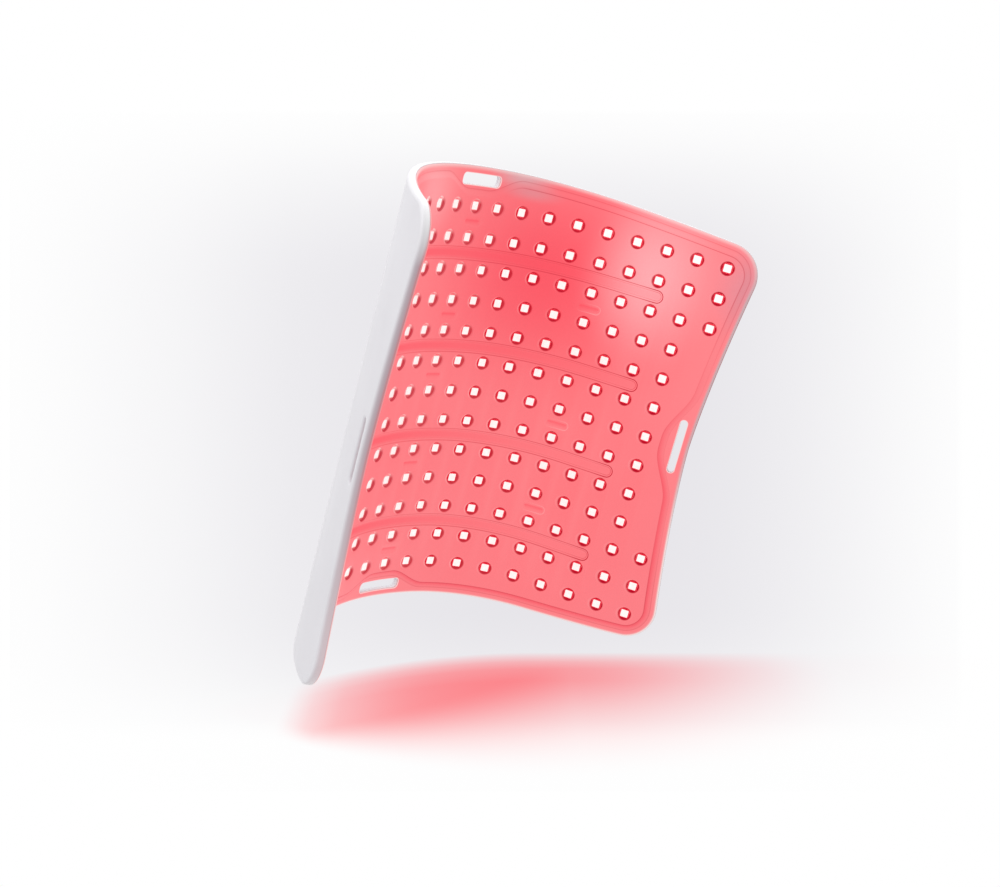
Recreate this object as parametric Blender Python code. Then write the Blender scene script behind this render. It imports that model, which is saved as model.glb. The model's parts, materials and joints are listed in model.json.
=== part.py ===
"""Flexible LED light therapy panel, bent about its height as it is worn.

Every moulded layer is laid out flat, as it leaves its mould, on an outline with u along the width,
v up the height and d through the thickness, front to back. The layer is then bent over the same
run of arcs as its neighbours, so that all layers keep their clearances in the bend. The rigid
control pod sits on the one stretch of the panel that stays flat.

Metres, +Z up, -Y the side with the LEDs. The panel stands on its two lower corners and on the
middle of its crowned lower edge, with the origin under the middle of its box.
"""

import math

import bmesh
import bpy
from mathutils import Matrix, Vector
from mathutils.geometry import delaunay_2d_cdt

for old in list(bpy.data.objects):
    bpy.data.objects.remove(old, do_unlink=True)

# Driving dimensions of the panel

PANEL_WIDTH = 0.323
PANEL_HEIGHT = 0.231
LONG_EDGE_CROWN = 0.008
SHORT_EDGE_WAIST = 0.0100
WAIST_END = 0.0155
WAIST_POWER = 1.5
CORNER_RADIUS = 0.017

LED_COLUMNS = 19
COLUMN_MARGIN = 0.0175
ROW_MARGIN = 0.0195
LED_SIDE = 0.0048
LED_HEIGHT = 0.0016
BAND_ROWS = (2, 3, 3, 3, 2)
END_COLUMN_ROWS = 3

# Thicknesses and clearances through the panel, front to back

FIELD_RAISE = 0.0012
SKIN_FLANGE = 0.0010
SEAM_GAP = 0.0003
FLEX_GAP = 0.0004
FLEX_THICKNESS = 0.0003
POCKET_WALL = 0.0017
SEAT_GAP = 0.0003

# The bend, walked from the right edge to the left: an end that flares back, the flat
# stretch under the pod, and three arcs that share what is left of the width

END_FLARE_LENGTH = 0.030
END_FLARE_TURN = math.radians(-9)
ARC_LENGTH_SHARES = (0.264, 0.384, 0.352)
ARC_TURNS = (math.radians(55), math.radians(47), math.radians(26))

# Strap slots, one in the middle of each side

LONG_SLOT_LENGTH = 0.029
LONG_SLOT_WIDTH = 0.0058
LONG_SLOT_BRIDGE = 0.0037
SHORT_SLOT_LENGTH = 0.029
SHORT_SLOT_WIDTH = 0.0039
SHORT_SLOT_BRIDGE = 0.0041
SLOT_CORNER_SHARE = 0.38

# The control pod on the back

POD_WIDTH = 0.040
POD_HEIGHT = 0.088
POD_CORNER = 0.008
POD_THICKNESS = 0.0102
POD_WALL = 0.0016

# Fineness of the faceting

CORNER_STEPS = 6
ROUND_SIDES = 20
SMALL_SIDES = 10
WELL_SIDES = 8
MERGE = 1e-7

LED_ROWS = sum(BAND_ROWS)
COLUMN_PITCH = (PANEL_WIDTH - 2 * COLUMN_MARGIN) / (LED_COLUMNS - 1)
ROW_PITCH = (PANEL_HEIGHT - 2 * ROW_MARGIN) / (LED_ROWS - 1)
WAIST_REACH = PANEL_HEIGHT / 2 - WAIST_END
FIELD_FRONT = -FIELD_RAISE
SKIN_BACK = SKIN_FLANGE
RIM_FRONT = SKIN_BACK + SEAM_GAP
FLEX_FRONT = SKIN_BACK + FLEX_GAP
FLEX_BACK = FLEX_FRONT + FLEX_THICKNESS
BUS_FRONT = FLEX_BACK + FLEX_GAP
BUS_BACK = BUS_FRONT + FLEX_THICKNESS
POCKET_FLOOR = BUS_BACK + FLEX_GAP
PANEL_BACK = POCKET_FLOOR + POCKET_WALL


def material(name, colour, roughness, metallic=0.0):
    """A plain finish with the piece's colour."""
    made = bpy.data.materials.new(name)
    made.use_nodes = True
    shader = made.node_tree.nodes["Principled BSDF"]
    shader.inputs["Base Color"].default_value = (*colour, 1.0)
    shader.inputs["Roughness"].default_value = roughness
    shader.inputs["Metallic"].default_value = metallic
    made.diffuse_color = (*colour, 1.0)
    return made


LIT_SILICONE = material("lit_silicone", (1.0, 0.22, 0.25), 0.45)
WHITE_SILICONE = material("white_silicone", (0.78, 0.77, 0.80), 0.55)
WHITE_MASK = material("white_solder_mask", (0.90, 0.88, 0.86), 0.5)
POLYIMIDE = material("polyimide", (0.62, 0.33, 0.08), 0.4)
WHITE_PLASTIC = material("white_plastic", (0.80, 0.80, 0.82), 0.35)
GREEN_MASK = material("green_solder_mask", (0.02, 0.18, 0.08), 0.4)
FOIL_POUCH = material("foil_pouch", (0.60, 0.61, 0.63), 0.3, 0.8)
GREY_PLASTIC = material("grey_plastic", (0.45, 0.46, 0.50), 0.4)
CLEAR_PLASTIC = material("clear_plastic", (0.85, 0.90, 0.92), 0.1)
PLATED_STEEL = material("plated_steel", (0.66, 0.66, 0.68), 0.25, 1.0)
BLACK_PLASTIC = material("black_plastic", (0.02, 0.02, 0.02), 0.4)


def add_piece(name, bm, finish, parent, place=(0, 0, 0)):
    """Turns a closed bmesh into one named sub-part under its parent."""
    bmesh.ops.recalc_face_normals(bm, faces=bm.faces)
    if bm.calc_volume(signed=True) < 0:
        bmesh.ops.reverse_faces(bm, faces=bm.faces)
    mesh = bpy.data.meshes.new(name)
    bm.to_mesh(mesh)
    bm.free()
    mesh.materials.append(finish)
    piece = bpy.data.objects.new(name, mesh)
    bpy.context.collection.objects.link(piece)
    piece.parent = parent
    piece.location = place
    return piece


def add_frame(name, parent=None):
    """An empty that places the pieces under it."""
    frame = bpy.data.objects.new(name, None)
    bpy.context.collection.objects.link(frame)
    frame.parent = parent
    return frame


# Flat outlines: rings of (u, v) points, counter-clockwise

def rounded_box(width, height, radius, steps, centre=(0, 0)):
    """A rectangle with round corners."""
    ring = []
    for quarter in range(4):
        side_u = 1 if quarter in (0, 3) else -1
        side_v = 1 if quarter in (0, 1) else -1
        corner_u = centre[0] + side_u * (width / 2 - radius)
        corner_v = centre[1] + side_v * (height / 2 - radius)
        for step in range(steps + 1):
            angle = (quarter + step / steps) * math.pi / 2
            ring.append((corner_u + radius * math.cos(angle), corner_v + radius * math.sin(angle)))
    return ring


def stadium(length, width, steps, centre=(0, 0)):
    """A bar with round ends, along u."""
    ring = []
    radius = width / 2
    for end, start in ((1, -math.pi / 2), (-1, math.pi / 2)):
        for step in range(steps + 1):
            angle = start + step / steps * math.pi
            ring.append(
                (
                    centre[0] + end * (length / 2 - radius) + radius * math.cos(angle),
                    centre[1] + radius * math.sin(angle),
                )
            )
    return ring


def circle(radius, sides, centre=(0, 0), turn=0.0):
    """A regular polygon that stands for a circle."""
    return [
        (
            centre[0] + radius * math.cos(turn + side / sides * math.tau),
            centre[1] + radius * math.sin(turn + side / sides * math.tau),
        )
        for side in range(sides)
    ]


def box(width, height, centre=(0, 0)):
    """A plain rectangle."""
    corners = ((1, 1), (-1, 1), (-1, -1), (1, -1))
    return [(centre[0] + u * width / 2, centre[1] + v * height / 2) for u, v in corners]


def eased(distance, flat, reach):
    """One up to flat, nothing past reach, and a smooth fall between them."""
    share = min(max((reach - abs(distance)) / (reach - flat), 0.0), 1.0)
    return share * share * (3 - 2 * share)


# The slots' places follow the edges they hang from, by the width of their bridges

LONG_SLOT_V = PANEL_HEIGHT / 2 - LONG_SLOT_BRIDGE - LONG_SLOT_WIDTH / 2
WAIST_HALF_WIDTH = PANEL_WIDTH / 2 - SHORT_EDGE_WAIST
SHORT_SLOT_U = WAIST_HALF_WIDTH - SHORT_SLOT_BRIDGE - SHORT_SLOT_WIDTH / 2

# How far each lobe runs along its edge, past the ends of the slot it goes round

LOBE_FLAT_SHARE = 0.38
LOBE_FALL = 0.0135
SLOPE_PROBE = 1e-5
TANGENT_ROUNDS = 12


def panel_ring(inset, long_lobe=0.0, short_lobe=0.0):
    """The panel's outline drawn in by inset, with a lobe of the given depth round each slot.

    The long edges are crowned and the short edges drawn in at the waist; a round corner is
    tangent to both. Points lie on quarter or half cells, so that every layer bends alike.
    """

    def top(u):
        crown = LONG_EDGE_CROWN * (2 * u / PANEL_WIDTH) ** 2
        reach = LONG_SLOT_LENGTH / 2 + LOBE_FALL
        lobe = long_lobe * eased(u, LONG_SLOT_LENGTH * LOBE_FLAT_SHARE, reach)
        return PANEL_HEIGHT / 2 - inset - crown - lobe

    def side(v):
        waist = SHORT_EDGE_WAIST * (1 - (abs(v) / WAIST_REACH) ** WAIST_POWER)
        reach = SHORT_SLOT_LENGTH / 2 + LOBE_FALL
        lobe = short_lobe * eased(v, SHORT_SLOT_LENGTH * LOBE_FLAT_SHARE, reach)
        return PANEL_WIDTH / 2 - inset - waist - lobe

    def slope(curve, at):
        return (curve(at + SLOPE_PROBE) - curve(at - SLOPE_PROBE)) / (2 * SLOPE_PROBE)

    radius = CORNER_RADIUS - inset
    top_u = PANEL_WIDTH / 2 - CORNER_RADIUS
    side_v = PANEL_HEIGHT / 2 - CORNER_RADIUS
    for _ in range(TANGENT_ROUNDS):
        top_normal = Vector((-slope(top, top_u), 1)).normalized()
        side_normal = Vector((1, -slope(side, side_v))).normalized()
        from_top = Vector((top_u, top(top_u))) - radius * top_normal
        from_side = Vector((side(side_v), side_v)) - radius * side_normal
        top_u += from_side.x - from_top.x
        side_v += from_top.y - from_side.y
    centre = from_top

    fine = COLUMN_PITCH / 4
    long_reach = (LONG_SLOT_LENGTH / 2 + LOBE_FALL) if long_lobe else 0.0
    short_reach = (SHORT_SLOT_LENGTH / 2 + LOBE_FALL) if short_lobe else 0.0
    quarter = []
    step = 0
    while step * fine < top_u - fine:
        if step % 2 == 0 or step * fine < long_reach:
            quarter.append((step * fine, top(step * fine)))
        step += 1
    start = math.atan2(top_normal.y, top_normal.x)
    end = math.atan2(side_normal.y, side_normal.x)
    for turn in range(CORNER_STEPS + 1):
        angle = start + (end - start) * turn / CORNER_STEPS
        quarter.append((centre.x + radius * math.cos(angle), centre.y + radius * math.sin(angle)))
    side_steps = []
    step = 0
    while step * fine < side_v - fine:
        if step % 2 == 0 or step * fine < short_reach:
            side_steps.append((side(step * fine), step * fine))
        step += 1
    quarter += reversed(side_steps)
    lower = [(u, -v) for u, v in reversed(quarter[:-1])]
    right = quarter + lower
    left = [(-u, v) for u, v in reversed(right[1:-1])]
    return list(reversed(right + left))


def slot_rings():
    """The four strap slots."""
    long_corner = LONG_SLOT_WIDTH * SLOT_CORNER_SHARE
    upright = [(v, u) for u, v in reversed(stadium(SHORT_SLOT_LENGTH, SHORT_SLOT_WIDTH, CORNER_STEPS - 1))]
    rings = [
        rounded_box(LONG_SLOT_LENGTH, LONG_SLOT_WIDTH, long_corner, 2, (0, side * LONG_SLOT_V))
        for side in (1, -1)
    ]
    rings += [[(u + side * SHORT_SLOT_U, v) for u, v in upright] for side in (1, -1)]
    return rings


SLOTS = slot_rings()


def bend_lines(step, phase):
    """Upright lines over the whole panel on which its layers are creased."""
    count = int(PANEL_WIDTH / step)
    stations = [(index + phase) * step for index in range(-count, count + 1)]
    return [
        ((u, -PANEL_HEIGHT), (u, PANEL_HEIGHT))
        for u in stations
        if abs(u) < PANEL_WIDTH / 2
    ]


BETWEEN_COLUMNS = bend_lines(COLUMN_PITCH, 0.5)
EVERY_HALF_CELL = bend_lines(COLUMN_PITCH / 2, 0.0)

# Slabs: two faces with relief, closed by their rim, their holes and their lofts

def relief(bm, loops, lines, flip):
    """Triangulates nested rings into one face of a slab.

    Each loop is (kind, level, ring), the outer ones first. A flat lies at its level, a slope
    joins the flats beside it and takes its own level at a free rim, and a hole is left out.
    """
    points = []
    rings = []
    for _, _, ring in loops:
        rings.append(list(range(len(points), len(points) + len(ring))))
        points += [Vector(point) for point in ring]
    edges = []
    for start, end in lines:
        edges.append((len(points), len(points) + 1))
        points += [Vector(start), Vector(end)]
    flat, _, triangles, _, _, inside = delaunay_2d_cdt(points, edges, rings, 0, MERGE)
    levels = {}
    kept = []
    for triangle, owners in zip(triangles, inside):
        if not owners:
            continue
        owner = max(owners)
        kind, level, _ = loops[owner]
        if kind == "hole":
            continue
        kept.append((triangle, owner))
        for index in triangle:
            if kind == "flat":
                levels[index] = level
            else:
                levels.setdefault(index, level)
    verts = {index: bm.verts.new((flat[index].x, level, flat[index].y)) for index, level in levels.items()}
    faces = {}
    for triangle, owner in kept:
        corners = [verts[index] for index in triangle]
        if flip:
            corners.reverse()
        faces.setdefault(owner, []).append(bm.faces.new(corners))
    return {key(vert): vert for vert in verts.values()}, faces


def key(vert):
    """A point's place on the flat outline, for finding its partner on the other face."""
    return round(vert.co.x / MERGE), round(vert.co.z / MERGE)


def close_ring(bm, ring_a, face_a, ring_b, face_b):
    """Lofts a hole's wall from a ring on one face to a ring on the other."""
    edges = []
    for ring, face in ((ring_a, face_a), (ring_b, face_b)):
        verts = [nearest(face, point) for point in ring]
        for here, there in zip(verts, verts[1:] + verts[:1]):
            edges.append(bm.edges.get((here, there)))
    bmesh.ops.bridge_loops(bm, edges=edges)


def nearest(face, point):
    """The face's vertex at a point of the outline."""
    u, v = round(point[0] / MERGE), round(point[1] / MERGE)
    for near_u in (u, u - 1, u + 1):
        for near_v in (v, v - 1, v + 1):
            if (near_u, near_v) in face:
                return face[near_u, near_v]
    raise ValueError(f"no vertex at {point}")


def slab(front_loops, back_loops, front_lines=(), back_lines=(), lofts=(), front_raised=(), back_raised=()):
    """A closed solid between two faces.

    A raised entry (loop, height) pulls that loop's faces straight out by height, as for a boss.
    """
    bm = bmesh.new()
    front, front_faces = relief(bm, front_loops, front_lines, False)
    back, back_faces = relief(bm, back_loops, back_lines, True)
    for edge in [edge for edge in bm.edges if edge.is_boundary]:
        here, there = edge.verts
        if front.get(key(here)) is not here or front.get(key(there)) is not there:
            continue
        if key(here) in back and key(there) in back:
            bm.faces.new((here, there, back[key(there)], back[key(here)]))
    for front_ring, back_ring in lofts:
        close_ring(bm, front_ring, front, back_ring, back)
    for faces, raised, outward in ((front_faces, front_raised, -1), (back_faces, back_raised, 1)):
        for loop, height in raised:
            pulled = bmesh.ops.extrude_face_region(bm, geom=faces[loop], use_keep_orig=True)
            moved = [item for item in pulled["geom"] if isinstance(item, bmesh.types.BMVert)]
            bmesh.ops.translate(bm, verts=moved, vec=(0, outward * height, 0))
            bmesh.ops.delete(bm, geom=faces[loop], context="FACES")
    bmesh.ops.triangulate(bm, faces=[face for face in bm.faces if len(face.verts) > 3])
    return bm


# The bend

POD_SEAT_MARGIN = 0.0010
POD_STRETCH = POD_WIDTH + 2 * POD_SEAT_MARGIN


def bend_spans():
    """Length and turn of each span, from the right edge to the left."""
    rest = PANEL_WIDTH - END_FLARE_LENGTH - POD_STRETCH
    spans = [(END_FLARE_LENGTH, END_FLARE_TURN), (POD_STRETCH, 0.0)]
    spans += [(rest * share, turn) for share, turn in zip(ARC_LENGTH_SHARES, ARC_TURNS)]
    return spans


def bend_point(u):
    """Plan position and heading of the bent panel's front at u, with the right edge at zero."""
    x, y, heading = 0.0, 0.0, 0.0
    left = PANEL_WIDTH / 2 - u
    spans = bend_spans()
    for index, (length, turn) in enumerate(spans):
        last = index == len(spans) - 1
        run = left if last else min(left, length)
        if turn:
            radius = length / turn
            ahead = heading + run / radius
            x -= radius * (math.sin(ahead) - math.sin(heading))
            y += radius * (math.cos(ahead) - math.cos(heading))
            heading = ahead
        else:
            x -= run * math.cos(heading)
            y -= run * math.sin(heading)
        left -= run
        if left <= 0:
            break
    return x, y, heading


def wrap(bm):
    """Bends a flat layer, in place."""
    for vert in bm.verts:
        x, y, heading = bend_point(vert.co.x)
        depth = vert.co.y
        vert.co.x = x - depth * math.sin(heading)
        vert.co.y = y + depth * math.cos(heading)
    return bm


panel_frame = add_frame("panel_frame")
left_x, left_y, _ = bend_point(-PANEL_WIDTH / 2)
right_x, right_y, _ = bend_point(PANEL_WIDTH / 2)
FACING = -math.atan2(right_y - left_y, right_x - left_x)


def row_height(row):
    """Height of a row, or of the middle between two rows, above the panel's middle."""
    return ((LED_ROWS - 1) / 2 - row) * ROW_PITCH


def led_places():
    """Every LED as (band, row, u, v)."""
    places = []
    row = 0
    for band, rows in enumerate(BAND_ROWS):
        for _ in range(rows):
            ends = row < END_COLUMN_ROWS or row >= LED_ROWS - END_COLUMN_ROWS
            half = (LED_COLUMNS - 1) // 2 if ends else (LED_COLUMNS - 1) // 2 - 1
            for column in range(-half, half + 1):
                places.append((band, row, column * COLUMN_PITCH, row_height(row)))
            row += 1
    return places


LEDS = led_places()

# Front skin: translucent silicone, a raised field on a thin flange, with a well over each LED

SKIN_INSET = 0.0003
FLANGE_WIDTH = 0.0035
SHOULDER_WIDTH = 0.0032
SLOT_LAND = 0.0009
SHORT_LOBE_LAND = 0.0052
WELL_RADIUS = 0.0037
WELL_SEAT = LED_SIDE + 2 * SEAT_GAP
GROOVE_LAND = 0.0010
GROOVE_WIDTH = ROW_PITCH - 2 * (WELL_RADIUS + GROOVE_LAND)
GROOVE_FLOOR_SHARE = 0.6
GROOVE_DEPTH = 0.0006
GROOVE_END_CLEAR = 0.0272
TACK_LAND = 0.0020
TACK_LENGTH = 0.0130
TACK_WIDTH = ROW_PITCH - 2 * (WELL_RADIUS + TACK_LAND)
TACK_OFFSET = PANEL_WIDTH / 4
BAND_TACKS = ((0,), (TACK_OFFSET, 0), (0, TACK_OFFSET), (0, TACK_OFFSET), (0,))
LONG_LOBE = LONG_SLOT_BRIDGE + LONG_SLOT_WIDTH + SLOT_LAND - FLANGE_WIDTH
SHORT_LOBE = SHORT_SLOT_BRIDGE + SHORT_SLOT_WIDTH + SHORT_LOBE_LAND - FLANGE_WIDTH


def band_border_rows():
    """Row numbers, with halves, of the seams between the LED bands."""
    borders = []
    done = 0
    for rows in BAND_ROWS[:-1]:
        done += rows
        borders.append(done - 0.5)
    return borders


def tack_places():
    """Short grooves between the rows of a band, in the middle or at both sides."""
    places = []
    row = 0
    for offsets in BAND_TACKS:
        for offset in offsets:
            v = row_height(row + 0.5)
            places += [(u, v) for u in sorted({-offset, offset})]
            row += 1
        row += 1
    return places


GROOVE_LENGTH = (LED_COLUMNS - 1) * COLUMN_PITCH - 2 * GROOVE_END_CLEAR


def build_front_skin():
    field = FLANGE_WIDTH + SHOULDER_WIDTH
    front = [
        ("flat", 0.0, panel_ring(SKIN_INSET)),
        ("slope", 0.0, panel_ring(FLANGE_WIDTH, LONG_LOBE, SHORT_LOBE)),
        ("flat", FIELD_FRONT, panel_ring(field, LONG_LOBE, SHORT_LOBE)),
    ]
    floor = FIELD_FRONT + GROOVE_DEPTH
    grooves = [(GROOVE_LENGTH, GROOVE_WIDTH, (0, row_height(row)), 4) for row in band_border_rows()]
    grooves += [(TACK_LENGTH, TACK_WIDTH, place, 3) for place in tack_places()]
    for length, width, place, steps in grooves:
        front.append(("slope", FIELD_FRONT, stadium(length, width, steps, place)))
        floor_width = width * GROOVE_FLOOR_SHARE
        inner = stadium(length - width + floor_width, floor_width, steps, place)
        front.append(("flat", floor, inner))
    back = [("flat", SKIN_BACK, panel_ring(SKIN_INSET))]
    lofts = []
    for _, _, u, v in LEDS:
        mouth = circle(WELL_RADIUS, WELL_SIDES, (u, v), math.pi / 4)
        seat = box(WELL_SEAT, WELL_SEAT, (u, v))
        front.append(("hole", None, mouth))
        back.append(("hole", None, seat))
        lofts.append((mouth, seat))
    for ring in SLOTS:
        front.append(("hole", None, ring))
        back.append(("hole", None, ring))
    bm = slab(front, back, BETWEEN_COLUMNS, BETWEEN_COLUMNS, lofts)
    return add_piece("front_skin", wrap(bm), LIT_SILICONE, panel_frame)


build_front_skin()

# Back cover: a white silicone tray with a round back edge, a pocket for the LED bands
# and a window that the control pod is clamped in

POCKET_RIM = 0.0045
POCKET_SIDE = 0.0006
BACK_ROUND = 0.0012
POD_LIP = 0.0007
POD_LIP_WIDTH = 0.0020
SLOT_RIM = 0.0016
SHORT_SLOT_RIM = 0.0030
POD_U = PANEL_WIDTH / 2 - END_FLARE_LENGTH - POD_STRETCH / 2
POD_PLACE = (POD_U, 0)
RECESS_FLOOR = PANEL_BACK - POD_LIP


def pod_outline(grown):
    """The pod's outline on the panel, grown outwards by a distance."""
    width = POD_WIDTH + 2 * grown
    height = POD_HEIGHT + 2 * grown
    return rounded_box(width, height, POD_CORNER + grown, 4, POD_PLACE)


def build_back_cover():
    long_lobe = LONG_SLOT_BRIDGE + LONG_SLOT_WIDTH + SLOT_RIM - POCKET_RIM
    short_lobe = SHORT_SLOT_BRIDGE + SHORT_SLOT_WIDTH + SHORT_SLOT_RIM - POCKET_RIM
    front = [
        ("flat", RIM_FRONT, panel_ring(0.0)),
        ("slope", RIM_FRONT, panel_ring(POCKET_RIM, long_lobe, short_lobe)),
        ("flat", POCKET_FLOOR, panel_ring(POCKET_RIM + POCKET_SIDE, long_lobe, short_lobe)),
        ("slope", POCKET_FLOOR, pod_outline(2 * SEAT_GAP)),
        ("flat", RECESS_FLOOR, pod_outline(SEAT_GAP)),
    ]
    back = [
        ("slope", PANEL_BACK - BACK_ROUND, panel_ring(0.0)),
        ("flat", PANEL_BACK, panel_ring(BACK_ROUND)),
    ]
    window = pod_outline(-POD_LIP_WIDTH)
    for ring in [window] + SLOTS:
        front.append(("hole", None, ring))
        back.append(("hole", None, ring))
    bm = slab(front, back, EVERY_HALF_CELL, EVERY_HALF_CELL)
    return add_piece("back_cover", wrap(bm), WHITE_SILICONE, panel_frame)


back_cover = build_back_cover()

# LED bands: flexible circuits, each with two or three rows of LEDs soldered on

BAND_GAP = 0.0040
BAND_MARGIN = 0.0050


def band_ring(band):
    """A band's outline: full width beside rows with end LEDs, and narrower beside the others."""
    first = sum(BAND_ROWS[:band])
    rows = range(first, first + BAND_ROWS[band])
    right = []
    for row in rows:
        last_led = max(u for _, place, u, _ in LEDS if place == row)
        half = last_led + BAND_MARGIN
        above = row_height(row - 0.5)
        below = row_height(row + 0.5)
        if row == rows[0]:
            above -= BAND_GAP / 2
        if row == rows[-1]:
            below += BAND_GAP / 2
        if row == 0:
            above = row_height(row) + BAND_MARGIN
        if row == LED_ROWS - 1:
            below = row_height(row) - BAND_MARGIN
        right += [(half, above), (half, below)]
    ring = [right[0]]
    for before, here, after in zip(right, right[1:], right[2:]):
        if before[0] == here[0] == after[0]:
            continue
        ring.append(here)
    ring.append(right[-1])
    return ring


def with_half_cells(ring):
    """Adds a point at each half cell along the level runs of a ring."""
    full = []
    for here, there in zip(ring, ring[1:] + ring[:1]):
        full.append(here)
        if abs(here[1] - there[1]) > MERGE:
            continue
        low, high = sorted((here[0], there[0]))
        half_cell = COLUMN_PITCH / 2
        first = math.floor(low / half_cell) + 1
        stations = []
        while first * half_cell < high - MERGE:
            stations.append((first * half_cell, here[1]))
            first += 1
        full += reversed(stations) if there[0] < here[0] else stations
    return full


def build_led_band(band):
    right = band_ring(band)
    left = [(-u, v) for u, v in reversed(right)]
    ring = with_half_cells(list(reversed(right + left)))
    front = [("flat", FLEX_FRONT, ring)]
    raised = []
    for led_band, _, u, v in LEDS:
        if led_band == band:
            raised.append((len(front), LED_HEIGHT))
            front.append(("flat", FLEX_FRONT, box(LED_SIDE, LED_SIDE, (u, v))))
    bm = slab(front, [("flat", FLEX_BACK, ring)], BETWEEN_COLUMNS, EVERY_HALF_CELL, front_raised=raised)
    return add_piece(f"led_band_{band + 1}", wrap(bm), WHITE_MASK, panel_frame)


for number in range(len(BAND_ROWS)):
    build_led_band(number)

# Everything in the pod is built about the pod's middle, on the flat stretch of the panel

pod_frame = add_frame("pod_frame", panel_frame)
pod_x, pod_y, pod_heading = bend_point(POD_U)
pod_frame.location = (pod_x, pod_y, 0)
pod_frame.rotation_euler = (0, 0, pod_heading)

BOSS_INSET = 0.0080
BOSS_U = POD_WIDTH / 2 - BOSS_INSET
BOSS_V = POD_HEIGHT / 2 - BOSS_INSET
BOSS_RADIUS = 0.0026
SCREW_HOLE = 0.0011
BOSSES = [(u * BOSS_U, v * BOSS_V) for u in (1, -1) for v in (1, -1)]

BASE_THICKNESS = POCKET_WALL - POD_LIP - SEAT_GAP
BASE_FRONT = POCKET_FLOOR
BASE_BACK = BASE_FRONT + BASE_THICKNESS
CELL_SIDE_CLEAR = 0.0070
CELL_END_CLEAR = 0.0074
CELL_WIDTH = POD_WIDTH - 2 * CELL_SIDE_CLEAR
CELL_HEIGHT = 2 * (BOSS_V - BOSS_RADIUS - CELL_END_CLEAR)
CELL_THICKNESS = 0.0050
CELL_FRONT = BASE_BACK + SEAT_GAP
BOARD_THICKNESS = 0.0010
BOARD_FRONT = CELL_FRONT + CELL_THICKNESS + 2 * SEAT_GAP
BOARD_BACK = BOARD_FRONT + BOARD_THICKNESS
SHELL_RIM = PANEL_BACK + SEAT_GAP
SHELL_BACK = PANEL_BACK + POD_THICKNESS
SHELL_INNER = SHELL_BACK - POD_WALL

# Bus circuit: joins the five bands and dips through the base to the driver board

BUS_WIDTH = 0.0120
BUS_MARGIN = 0.0060
TAIL_WIDTH = 0.0080
TAIL_FROM_CELL = 0.0050
TAIL_V = -CELL_HEIGHT / 2 - TAIL_FROM_CELL
TAIL_SOCKET_HEIGHT = 0.0012
TAIL_SOCKET = (0.0120, 0.0026)


def build_bus():
    reach = (LED_ROWS - 1) * ROW_PITCH - 2 * BUS_MARGIN
    ring = box(BUS_WIDTH, reach)
    tail = box(TAIL_WIDTH, FLEX_THICKNESS, (0, TAIL_V))
    drop = BOARD_FRONT - TAIL_SOCKET_HEIGHT - SEAT_GAP - BUS_BACK
    back = [("flat", BUS_BACK, ring), ("flat", BUS_BACK, tail)]
    bm = slab([("flat", BUS_FRONT, ring)], back, back_raised=[(1, drop)])
    return add_piece("bus_circuit", bm, POLYIMIDE, pod_frame)


build_bus()

# Pod base: a moulded plate whose flange is clamped behind the silicone lip, with ribs that
# hold the cell and bosses that carry the board

RIB_THICKNESS = 0.0012
RIB_WIDTH = CELL_WIDTH - 5 * RIB_THICKNESS
RIB_HEIGHT = 0.0030
TAIL_SLIT = (TAIL_WIDTH + 4 * SEAT_GAP, FLEX_THICKNESS + 4 * SEAT_GAP)


def build_pod_base():
    ring = rounded_box(POD_WIDTH, POD_HEIGHT, POD_CORNER, 4)
    front = [("flat", BASE_FRONT, ring)]
    back = [("flat", BASE_BACK, ring)]
    raised = []
    rib_v = CELL_HEIGHT / 2 + SEAT_GAP + RIB_THICKNESS / 2
    for side in (1, -1):
        raised.append((len(back), RIB_HEIGHT))
        back.append(("flat", BASE_BACK, box(RIB_WIDTH, RIB_THICKNESS, (0, side * rib_v))))
    for place in BOSSES:
        raised.append((len(back), BOARD_FRONT - SEAT_GAP - BASE_BACK))
        back.append(("flat", BASE_BACK, circle(BOSS_RADIUS, SMALL_SIDES, place)))
        hole = circle(SCREW_HOLE, SMALL_SIDES, place)
        front.append(("hole", None, hole))
        back.append(("hole", None, hole))
    slit = box(*TAIL_SLIT, (0, TAIL_V))
    front.append(("hole", None, slit))
    back.append(("hole", None, slit))
    return add_piece("pod_base", slab(front, back, back_raised=raised), WHITE_PLASTIC, pod_frame)


build_pod_base()

# Battery cell: a flat pouch with soft edges

CELL_SOFT = 0.0012
CELL_CORNER = 0.0020


def build_cell():
    ring = rounded_box(CELL_WIDTH, CELL_HEIGHT, CELL_CORNER, 2)
    face = rounded_box(CELL_WIDTH - 2 * CELL_SOFT, CELL_HEIGHT - 2 * CELL_SOFT, CELL_CORNER / 2, 2)
    front = [("slope", CELL_FRONT + CELL_SOFT, ring), ("flat", CELL_FRONT, face)]
    cell_back = CELL_FRONT + CELL_THICKNESS
    back = [("slope", cell_back - CELL_SOFT, ring), ("flat", cell_back, face)]
    return add_piece("battery_cell", slab(front, back), FOIL_POUCH, pod_frame)


build_cell()

# Driver board, with its chips, the power switch and the socket's notch

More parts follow.
